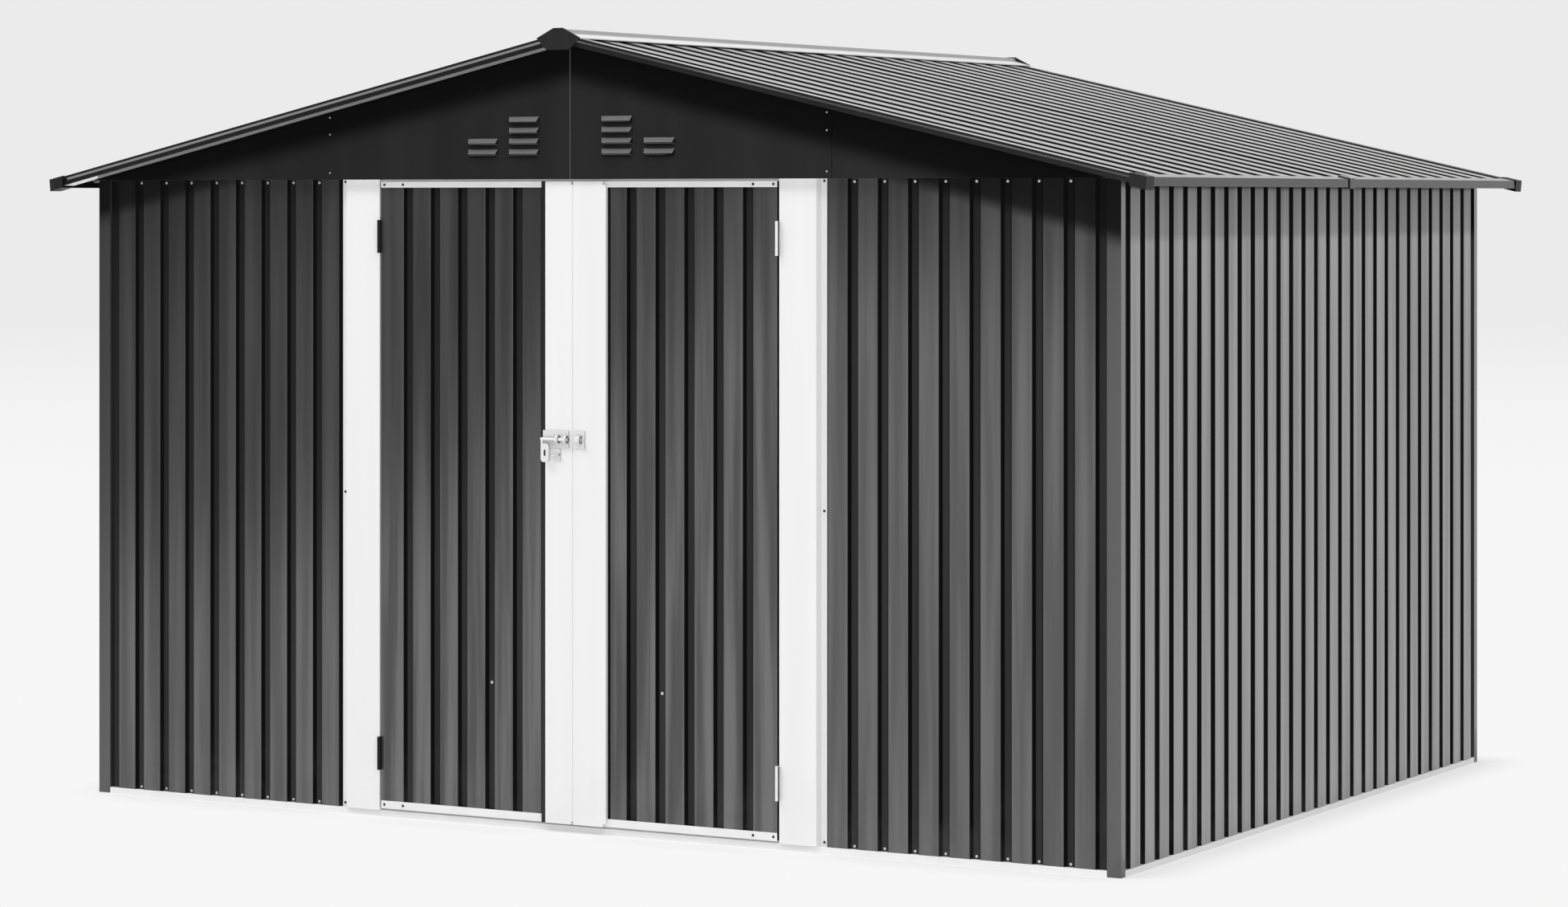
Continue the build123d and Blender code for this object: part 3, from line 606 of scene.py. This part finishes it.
def flat_paint(
    name, dark, gloss, satin, mirror, under_reflection=None, reach=NOWHERE, seam=NOWHERE, face_gloss=1.0, corner_shade=0.0,
):
    """Dark coat for flat folded pieces, with painted shade, a painted highlight, and a painted reflection as
    the tone of faces that look down.
    """
    made, tree, shader = new_material(name)
    air = use(tree, weather_group, streak_width=FLAT_STREAKS)
    facing = split(tree, normal_of(tree))
    down = sums(tree, "LESS_THAN", facing[2], DOWN_FACING)
    level = spread(tree, sums(tree, "ABSOLUTE", facing[1]), *FACE_RANGE, 1.0, face_gloss)
    from_middle = sums(tree, "ABSOLUTE", split(tree, here(tree))[0])
    # painted highlight: a thin pale line along the middle seam
    seam_highlight = spread(tree, from_middle, seam, seam + SEAM_SOFT, 1.0, 0.0)
    shade = use(tree, shade_group, reach=reach)["Shade"]
    painted_shade = 0.0
    # painted shade in the corners below the louvres' hoods, from ambient occlusion
    if corner_shade:
        hollow = add(tree, "ShaderNodeAmbientOcclusion", {"Distance": CORNER_DISTANCE}, samples=8)
        painted_shade = spread(tree, hollow.outputs["AO"], *CORNER_RANGE, corner_shade, 0.0)

    coat = blend(tree, air["Streaks"], *[grey(dark * tone) for tone in FLAT_TONES])
    dusty = blend(tree, sums(tree, "MULTIPLY", air["Dust"], FLAT_DUST), coat, DUST)
    shade_share = sums(tree, "MAXIMUM", sums(tree, "MULTIPLY", shade, SHADE_HOLD), painted_shade)
    shaded_coat = blend(tree, shade_share, dusty, grey(dark * CORNER_TONE))
    seamed = blend(tree, seam_highlight, shaded_coat, SEAM_HIGHLIGHT)
    tree.links.new(blend(tree, down, seamed, under_reflection or grey(dark)), shader.inputs["Base Color"])
    tree.links.new(spread(tree, air["Streaks"], 0.0, 1.0, *FLAT_ROUGH), shader.inputs["Roughness"])

    settled = spread(tree, air["Dust"], 0.0, 1.0, gloss, gloss * DUSTY_GLOSS)
    unshaded = sums(tree, "SUBTRACT", 1.0, sums(tree, "MAXIMUM", shade, painted_shade))
    open_share = sums(tree, "MULTIPLY", level, unshaded)
    tree.links.new(sums(tree, "MULTIPLY", settled, open_share), shader.inputs["Coat Weight"])
    set_gloss(shader, satin, mirror)
    dress_normal(tree, shader, air["Skin"], FINE_PEEL)
    return made


GABLE_SHADE = 0.105
SEAM_HALF = 0.0009
gable_paint = flat_paint(
    "gable_paint", dark=0.016, gloss=0.18, satin=0.25, mirror=1.7,
    reach=GABLE_SHADE, seam=SEAM_HALF, corner_shade=1.0,
)
post_paint = flat_paint(
    "post_paint", dark=0.045, gloss=1.0, satin=0.22, mirror=2.05, reach=WALL_SHADE, face_gloss=0.7,
)
# the rake's underside is painted pale, a painted reflection
rake_paint = flat_paint(
    "rake_paint", dark=0.015, gloss=1.0, satin=0.08, mirror=2.8, under_reflection=grey(0.7), face_gloss=0.35,
)
eave_paint = flat_paint("eave_paint", dark=0.016, gloss=0.9, satin=0.2, mirror=1.4)
print("flat paints", [paint.name for paint in (gable_paint, post_paint, rake_paint, eave_paint)])

# %% [markdown]
# ## White paint
# Door frames, meeting stiles, rails, base rails and the ridge cap are stove-enamelled white. White shows its
# wear as grey: a little dust at the foot, faint runs, and a satin skin. A painted shade darkens the crest of
# the ridge cap, and a painted shade line darkens the left stile's outer strip.

# %% White paint
NO_CREST = 3.0  # a height above the shed
RIDGE_CREST = 1.987
NO_SHADE_EDGE = -9.0  # a place left of the shed
OUTER_SHADE_WIDTH = 0.011  # width of the painted shade on the left stile's outer strip
OUTER_SHADE_SOFT = 0.001
OUTER_SHADE_TONE = grey(0.006)
WHITE_TONES = (grey(0.8), grey(0.83))
WHITE_DUST = grey(0.52)
CREST_SHADE = grey(0.4)
WHITE_ROUGH = (0.36, 0.6)
WHITE_PEEL = 0.0001


def white_enamel(name, crest=NO_CREST, shade_edge=NO_SHADE_EDGE):
    """White enamel with dust at the foot, painted shade above a crest, and a painted shade strip left of an
    edge.
    """
    made, tree, shader = new_material(name)
    air = use(tree, weather_group, dust_height=0.35, streak_width=14.0, grain=520.0)
    coat = blend(tree, air["Streaks"], *WHITE_TONES)
    dusty = blend(tree, sums(tree, "MULTIPLY", air["Dust"], DUST_SHARE), coat, WHITE_DUST)
    place = split(tree, here(tree))
    # painted shade along the ridge cap's crest
    painted_shade = spread(tree, place[2], crest - 0.003, crest + 0.002)
    crest_shaded = blend(tree, painted_shade, dusty, CREST_SHADE)
    # painted shade strip on the left stile's outer edge
    outer_shade = spread(tree, place[0], shade_edge, shade_edge + OUTER_SHADE_SOFT, 1.0, 0.0)
    tree.links.new(blend(tree, outer_shade, crest_shaded, OUTER_SHADE_TONE), shader.inputs["Base Color"])
    tree.links.new(spread(tree, air["Dust"], 0.0, 1.0, *WHITE_ROUGH), shader.inputs["Roughness"])
    dress_normal(tree, shader, air["Skin"], WHITE_PEEL)
    return made


white_paint = white_enamel("white_enamel")
ridge_paint = white_enamel("ridge_enamel", crest=RIDGE_CREST)
left_stile_paint = white_enamel("left_stile_enamel", shade_edge=-STILE_EDGE + OUTER_SHADE_WIDTH)
print("white paints", [paint.name for paint in (white_paint, ridge_paint, left_stile_paint)])

# %% [markdown]
# ## Zinc
# Screw heads are bright zinc plate, and the latch is a paler, chalky plate with painted shade on its edges.
# Purlins, inner rails and door braces are galvanised strip with large spangle.

# %% Zinc
FINE_CELLS = 900.0
LARGE_CELLS = 70.0
EDGE_FACING = (0.45, 0.8)  # faces that look less far forward than this count as edges
EDGE_SHADE_TONE = grey(0.03)
PLATE_RELIEF = 0.00004
STRIP_RELIEF = 0.00003
PALE_TONES = (grey(0.76), grey(0.84))


def zinc(name, cell, tones, rough, relief, metal=1.0, painted_shade=0.0):
    """Zinc with crystal patches that differ in tone and in roughness, and painted shade on its edges."""
    made, tree, shader = new_material(name)
    crystals = use(tree, spangle_group, cell=cell)
    tone = blend(tree, crystals["Patch"], *tones)
    forward = sums(tree, "ABSOLUTE", split(tree, normal_of(tree))[1])
    # painted shade on the faces that turn away from the front
    edges = spread(tree, forward, *EDGE_FACING, painted_shade, 0.0)
    tree.links.new(blend(tree, edges, tone, EDGE_SHADE_TONE), shader.inputs["Base Color"])
    patches = sums(tree, "MULTIPLY", crystals["Patch"], 0.6)
    mixed = sums(tree, "MULTIPLY_ADD", crystals["Skin"], 0.4, patches)
    tree.links.new(spread(tree, mixed, 0.1, 0.9, *rough), shader.inputs["Roughness"])
    shader.inputs["Metallic"].default_value = metal
    dress_normal(tree, shader, crystals["Skin"], relief)
    return made


plated_zinc = zinc(
    "plated_zinc", FINE_CELLS, tones=(grey(0.82), grey(0.92)), rough=(0.34, 0.5), relief=PLATE_RELIEF,
)
pale_zinc = zinc(
    "pale_zinc", FINE_CELLS, tones=PALE_TONES, rough=(0.34, 0.5), relief=PLATE_RELIEF,
    metal=0.2, painted_shade=0.85,
)
spangled_zinc = zinc(
    "spangled_zinc", LARGE_CELLS, tones=(grey(0.42), grey(0.62)), rough=(0.3, 0.52), relief=STRIP_RELIEF,
)
print("zinc", [finish.name for finish in (plated_zinc, pale_zinc, spangled_zinc)])

# %% [markdown]
# ## Hinges
# The hinges on the left door are painted dark, a painted shade, and those on the right door are pale, with a
# painted shade on their jamb side. One finish holds both and tells the doors apart by their half of the
# shed.

# %% Hinge finish
SHADED_HINGE = grey(0.008)
JAMB_FACING = (0.62, 0.8)
JAMB_SHADE = 0.9
JAMB_SHADE_TONE = grey(0.02)
HINGE_ROUGH = (0.4, 0.6)

hinge_finish, tree, shader = new_material("hinge_finish")
crystals = use(tree, spangle_group, cell=FINE_CELLS)
right_hand = sums(tree, "GREATER_THAN", split(tree, here(tree))[0], 0.0)
jamb_side = spread(tree, split(tree, normal_of(tree))[0], *JAMB_FACING)
bright = blend(tree, crystals["Patch"], *PALE_TONES)
# painted shade on the jamb side of the right hinges
jamb_shaded = blend(tree, sums(tree, "MULTIPLY", jamb_side, JAMB_SHADE), bright, JAMB_SHADE_TONE)
# the left hinges are painted dark as a painted shade
tree.links.new(blend(tree, right_hand, SHADED_HINGE, jamb_shaded), shader.inputs["Base Color"])
tree.links.new(spread(tree, crystals["Skin"], 0.2, 0.8, *HINGE_ROUGH), shader.inputs["Roughness"])
shader.inputs["Specular IOR Level"].default_value = 0.15
print("finish", hinge_finish.name)

# %% [markdown]
# ## Plastic
# The corner and ridge caps are moulded plastic with a fine grain from the mould. The screws' pale washers
# are nylon, nearly white and a little waxy, with a soft skin and no metal.

# %% Plastic
SKIN_RANGE = (0.3, 0.7)
CAP_TONES = (grey(0.012), grey(0.018))
CAP_ROUGH = (0.42, 0.58)
CAP_GRAIN = 0.0002
NYLON_TONES = (grey(0.78), grey(0.88))
NYLON_ROUGH = (0.4, 0.55)

cap_plastic, tree, shader = new_material("cap_plastic")
air = use(tree, weather_group, streak_width=30.0, grain=1500.0)
tree.links.new(blend(tree, air["Streaks"], *CAP_TONES), shader.inputs["Base Color"])
tree.links.new(spread(tree, air["Skin"], *SKIN_RANGE, *CAP_ROUGH), shader.inputs["Roughness"])
shader.inputs["Specular IOR Level"].default_value = 0.2
dress_normal(tree, shader, air["Skin"], CAP_GRAIN)

nylon, tree, shader = new_material("washer_nylon")
air = use(tree, weather_group, streak_width=220.0, grain=1800.0)
tree.links.new(blend(tree, air["Streaks"], *NYLON_TONES), shader.inputs["Base Color"])
tree.links.new(spread(tree, air["Skin"], *SKIN_RANGE, *NYLON_ROUGH), shader.inputs["Roughness"])
print("plastics", cap_plastic.name, nylon.name)

# %% [markdown]
# ## Who wears what
# Each node of the frame keeps its shape and only changes its material slot. A table of finishes beats a
# long list of calls: a missing name would stop the script at once.

# %% Dress the frame
finishes = {
    front_paint: ["front_left_wall", "front_right_wall"],
    door_paint: ["left_door_sheet", "right_door_sheet"],
    side_paint: ["left_wall", "right_wall"],
    rear_paint: ["rear_wall"],
    roof_paint: ["left_roof", "right_roof"],
    gable_paint: ["front_gable_left", "front_gable_right", "rear_gable"],
    post_paint: ["front_left_post", "front_right_post", "rear_left_post", "rear_right_post"],
    rake_paint: ["front_rake_trims", "rear_rake_trims"],
    eave_paint: ["left_eave_trim", "right_eave_trim", "eave_joiners"],
    white_paint: [
        "front_sill", "rear_sill", "side_sills", "left_door_jamb", "right_door_jamb", "front_top_rail",
        "rear_top_rail", "right_door_stile", "left_door_rails", "right_door_rails",
    ],
    left_stile_paint: ["left_door_stile"],
    ridge_paint: ["ridge_cap"],
    hinge_finish: ["jamb_hinges", "left_door_hinges", "right_door_hinges"],
    pale_zinc: ["latch_guide", "latch_keeper", "latch_bolt"],
    spangled_zinc: ["roof_purlins", "side_top_rails", "left_door_braces", "right_door_braces"],
    cap_plastic: ["eave_corner_caps", "ridge_end_caps"],
}
dressed = set()
for finish, names in finishes.items():
    for name in names:
        for holder in nodes[name].material_slots:
            holder.material = finish
        dressed.add(name)
print("dressed", len(dressed), "left", sorted(set(nodes) - dressed))

# %% [markdown]
# ## Screws
# A kit like this is held by hundreds of short pan-head screws, each on a pale washer that keeps the rain
# out. Copying them by hand would be slow, so one Geometry Nodes tree grows a head from a circle: it is
# extruded to a washer, drawn in, raised to a head and sunk to a recess. The tree sets a head on every point
# of a plain point mesh, turned to the point's own facing, scaled to its size and spun by a seeded random
# angle.

# %% Screw shape
WASHER_SIDES = 12
WASHER_TAPER = 0.94
HEAD_TAPER = 0.72
RECESS_WIDTH = 0.62
RECESS_DEPTH = -0.6  # share of the head's height, downwards
RECESS_TAPER = 0.8
HEAD_FROM = 1.02  # faces above this share of the washer's height belong to the head
MERGE_DISTANCE = 0.00002


def grow(tree, mesh, top, distance, shrink):
    """Extrudes the top face upwards by a distance and scales the new top."""
    pull = {"Mesh": mesh, "Selection": top, "Offset Scale": distance, "Individual": False}
    lifted = add(tree, "GeometryNodeExtrudeMesh", pull, mode="FACES").outputs
    draw_in = {"Geometry": lifted["Mesh"], "Selection": lifted["Top"], "Scale": shrink}
    scaled = add(tree, "GeometryNodeScaleElements", draw_in)
    return scaled.outputs["Geometry"], lifted["Top"]


def screw_head(tree, given):
    """One closed washer and head around the origin, with its head faces marked."""
    ring = {"Vertices": WASHER_SIDES, "Radius": given["Washer Radius"]}
    circle = add(tree, "GeometryNodeMeshCircle", ring, fill_type="NGON").outputs[0]
    pale = {"Geometry": circle, "Material": given["Washer Finish"]}
    circle = add(tree, "GeometryNodeSetMaterial", pale).outputs[0]
    everywhere = add(tree, "FunctionNodeInputBool", boolean=True).outputs[0]
    body, top = grow(tree, circle, everywhere, given["Washer Height"], WASHER_TAPER)
    ratio = sums(tree, "DIVIDE", given["Head Radius"], given["Washer Radius"])
    body, top = grow(tree, body, top, 0.0, ratio)
    body, top = grow(tree, body, top, given["Head Height"], HEAD_TAPER)
    body, top = grow(tree, body, top, 0.0, RECESS_WIDTH)
    sink = sums(tree, "MULTIPLY", given["Head Height"], RECESS_DEPTH)
    body, top = grow(tree, body, top, sink, RECESS_TAPER)
    foot = add(tree, "GeometryNodeFlipFaces", {"Mesh": circle}).outputs[0]
    joined = tree.nodes.new("GeometryNodeJoinGeometry")
    tree.links.new(body, joined.inputs[0])
    tree.links.new(foot, joined.inputs[0])
    seams = {"Geometry": joined.outputs[0], "Distance": MERGE_DISTANCE}
    closed = add(tree, "GeometryNodeMergeByDistance", seams).outputs[0]
    height = split(tree, add(tree, "GeometryNodeInputPosition").outputs[0])[2]
    limit = sums(tree, "MULTIPLY", given["Washer Height"], HEAD_FROM)
    pair = {0: height, 1: limit}
    is_head = add(tree, "FunctionNodeCompare", pair, operation="GREATER_THAN", data_type="FLOAT")
    mark = {"Geometry": closed, "Name": "is_head"}
    marked = add(tree, "GeometryNodeStoreNamedAttribute", mark, data_type="BOOLEAN", domain="FACE")
    tree.links.new(is_head.outputs[0], marked.inputs["Value"])
    return marked.outputs[0]


print("washer sides", WASHER_SIDES)

# %% [markdown]
# The second half of the tree sets the heads, makes them real and gives out the finishes: a pale washer with
# a bright head, or all dark where the photograph shows a dark screw.

# %% Screw tree
SCREW_SEED = 11
SCREW_SIZES = {
    "Washer Radius": 0.0034, "Washer Height": 0.0008, "Head Radius": 0.0026, "Head Height": 0.0017,
}


def stored(tree, name, kind):
    """Reads a named value that is stored on the mesh."""
    return add(tree, "GeometryNodeInputNamedAttribute", {"Name": name}, data_type=kind).outputs[0]


def screw_tree():
    """Builds the tree that sets a washered head on each point."""
    tree = bpy.data.node_groups.new("washered_screws", "GeometryNodeTree")
    tree.interface.new_socket("Geometry", in_out="INPUT", socket_type="NodeSocketGeometry")
    for label, value in SCREW_SIZES.items():
        size = tree.interface.new_socket(label, in_out="INPUT", socket_type="NodeSocketFloat")
        size.default_value = value
    seed = tree.interface.new_socket("Seed", in_out="INPUT", socket_type="NodeSocketInt")
    seed.default_value = SCREW_SEED
    for label in ("Washer Finish", "Head Finish", "Dark Finish"):
        tree.interface.new_socket(label, in_out="INPUT", socket_type="NodeSocketMaterial")
    tree.interface.new_socket("Geometry", in_out="OUTPUT", socket_type="NodeSocketGeometry")
    given = tree.nodes.new("NodeGroupInput").outputs
    result = tree.nodes.new("NodeGroupOutput")

    facing = stored(tree, "facing", "FLOAT_VECTOR")
    aligned = add(tree, "FunctionNodeAlignRotationToVector", {"Vector": facing}, axis="Z").outputs[0]
    whole_turn = {2: 0.0, 3: math.tau, "Seed": given["Seed"]}
    chance = add(tree, "FunctionNodeRandomValue", whole_turn, data_type="FLOAT")
    spin = add(tree, "ShaderNodeCombineXYZ", {2: chance.outputs[1]}).outputs[0]
    turn = add(tree, "FunctionNodeRotateRotation", {0: aligned, 1: spin}, rotation_space="LOCAL").outputs[0]
    setting = {
        "Points": given["Geometry"], "Instance": screw_head(tree, given),
        "Rotation": turn, "Scale": stored(tree, "size", "FLOAT"),
    }
    placed = add(tree, "GeometryNodeInstanceOnPoints", setting).outputs[0]
    solid = add(tree, "GeometryNodeRealizeInstances", {0: placed}).outputs[0]
    heads = {"Selection": stored(tree, "is_head", "BOOLEAN"), "Material": given["Head Finish"]}
    painted = add(tree, "GeometryNodeSetMaterial", {"Geometry": solid, **heads}).outputs[0]
    darks = {"Selection": stored(tree, "dark", "BOOLEAN"), "Material": given["Dark Finish"]}
    blackened = add(tree, "GeometryNodeSetMaterial", {"Geometry": painted, **darks}).outputs[0]
    tree.links.new(blackened, result.inputs[0])
    return tree


screws = screw_tree()
print("tree", screws.name, "inputs", [s.name for s in screws.interface.items_tree if s.in_out == "INPUT"])

# %% [markdown]
# A screw's place is a rule of the wall it holds: one in every groove, near the top rail and near the base
# rail. Jamb lips, gable laps, door rails and door braces have a few more. The gable's are small. Those on
# the white pieces show dark, and so does the upper one on each door's braces. The lists below hold a place
# in metres, a facing, a size and whether the screw is dark, one list for each body.

# %% Places of the screws
WALL_ROWS = (0.0215, 1.6185)
PITCH = 0.082  # from rib to rib
FRONT_START = 0.7023
FRONT_FLOOR = 1.176  # groove floors, from the shed's middle
SIDE_FLOOR = 1.482
LAP = 0.0008  # the sheet that laps over its neighbour lies this much further out
LIP_X = 0.702
LIP_FACE = 1.177
LIP_ROWS = (0.025, 0.824, 1.6205)
GABLE_X = 0.727
GABLE_FACE = 1.211
GABLE_ROWS = (1.643, 1.742, 1.785)
GABLE_SIZE = 0.6
RAIL_X = (0.57, 0.513)
RAIL_FACE = 1.1933
RAIL_ROWS = (0.0305, 1.613)
BRACE_X = 0.2497
BRACE_FACE = 1.182
LOW_BRACE = 0.359
HIGH_BRACE = 1.287
BRACE_SIZE = 1.15
FORWARD = (0, -1, 0)
BACKWARD = (0, 1, 0)

places = {"shed": [], "left_door": [], "right_door": []}


def set_screw(body, place, facing, size=1.0, dark=False):
    """Notes one screw."""
    places[body].append((place, facing, size, dark))


for hand in (-1, 1):
    for row in WALL_ROWS:
        for groove in range(1, 9):
            set_screw("shed", (hand * (FRONT_START + PITCH * groove), -FRONT_FLOOR, row), FORWARD)
        for groove in range(-14, 15):
            floor_x = SIDE_FLOOR if groove < 0 else SIDE_FLOOR + LAP
            set_screw("shed", (hand * floor_x, PITCH * groove, row), (hand, 0, 0))
        for groove in range(18):
            floor_y = FRONT_FLOOR + LAP if groove < 6 else FRONT_FLOOR
            set_screw("shed", (hand * PITCH * (groove + 0.5), floor_y, row), BACKWARD)
    for row in LIP_ROWS:
        set_screw("shed", (hand * LIP_X, -LIP_FACE, row), FORWARD, dark=True)
    for row in GABLE_ROWS:
        set_screw("shed", (hand * GABLE_X, -GABLE_FACE, row), FORWARD, GABLE_SIZE)
        set_screw("shed", (hand * GABLE_X, GABLE_FACE, row), BACKWARD, GABLE_SIZE)
    door = "left_door" if hand < 0 else "right_door"
    for across in RAIL_X:
        for row in RAIL_ROWS:
            set_screw(door, (hand * across, -RAIL_FACE, row), FORWARD, dark=True)
    set_screw(door, (hand * BRACE_X, -BRACE_FACE, LOW_BRACE), FORWARD, BRACE_SIZE)
    set_screw(door, (hand * BRACE_X, -BRACE_FACE, HIGH_BRACE), FORWARD, dark=True)
print({body: len(found) for body, found in places.items()})

# %% [markdown]
# Each list becomes one mesh: points with stored values, the tree on top, and the result kept as a plain
# mesh at the origin, so that it can ride on its body.

# %% Set the screws
def socket_id(tree, label):
    """The identifier of a tree's input."""
    return next(s.identifier for s in tree.interface.items_tree if s.name == label and s.in_out == "INPUT")


def store(mesh, name, kind, field, values):
    """Stores one value for each point of a mesh."""
    mesh.attributes.new(name, kind, "POINT").data.foreach_set(field, values)


def plain_mesh(name, points, tree, values):
    """Runs a tree on a point mesh and keeps the result as a plain mesh object."""
    mesh = bpy.data.meshes.new(name + "_points")
    mesh.from_pydata([point[0] for point in points], [], [])
    store(mesh, "facing", "FLOAT_VECTOR", "vector", [part for point in points for part in point[1]])
    store(mesh, "size", "FLOAT", "value", [point[2] for point in points])
    store(mesh, "dark", "BOOLEAN", "value", [point[3] for point in points])
    carrier = bpy.data.objects.new(name + "_points", mesh)
    scene.collection.objects.link(carrier)
    modifier = carrier.modifiers.new("grow", "NODES")
    modifier.node_group = tree
    for label, value in values.items():
        modifier[socket_id(tree, label)] = value
    graph = bpy.context.evaluated_depsgraph_get()
    ready = carrier.evaluated_get(graph)
    grown = bpy.data.meshes.new_from_object(ready, preserve_all_data_layers=True, depsgraph=graph)
    carrier.modifiers.remove(modifier)
    bpy.data.objects.remove(carrier)
    piece = bpy.data.objects.new(name, grown)
    scene.collection.objects.link(piece)
    return piece


screw_finishes = {"Washer Finish": nylon, "Head Finish": plated_zinc, "Dark Finish": cap_plastic}
values = {"Seed": SCREW_SEED, **screw_finishes}
for body, found in places.items():
    piece = plain_mesh(body + "_screws", found, screws, values)
    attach(piece, body)
    print(piece.name, "faces", len(piece.data.polygons), "materials", len(piece.data.materials))

# %% [markdown]
# ## White strips
# A slim white seal on the left door's meeting edge closes most of the gap between the stiles and keeps rain
# out. It stops short of the right stile, so both doors still swing on their own. The white also reaches a
# little further right in the photograph than the right stile does, so a hem widens that stile. Both are
# plain extruded bars.

# %% Door seal and stile hem
SEAL_X = (-0.0034, 0.0018)
SEAL_Y = (-1.2018, -1.1975)
SEAL_Z = (0.028, 1.612)
HEM_X = (0.0893, 0.0985)
HEM_Y = (-1.2019, -1.1921)
HEM_Z = (0.0285, 1.6115)
BAR_SIDES = [(0, 2, 3, 1), (4, 5, 7, 6), (0, 1, 5, 4), (1, 3, 7, 5), (3, 2, 6, 7), (2, 0, 4, 6)]


def white_bar(name, x_range, y_range, z_range, body):
    """A plain white bar that rides on a body."""
    corner_shade = [(x, y, z) for z in z_range for y in y_range for x in x_range]
    mesh = bpy.data.meshes.new(name)
    mesh.from_pydata(corner_shade, [], BAR_SIDES)
    mesh.materials.append(white_paint)
    bar = bpy.data.objects.new(name, mesh)
    scene.collection.objects.link(bar)
    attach(bar, body)
    print(bar.name, "faces", len(mesh.polygons))


white_bar("door_seal", SEAL_X, SEAL_Y, SEAL_Z, "left_door")
white_bar("stile_hem", HEM_X, HEM_Y, HEM_Z, "right_door")
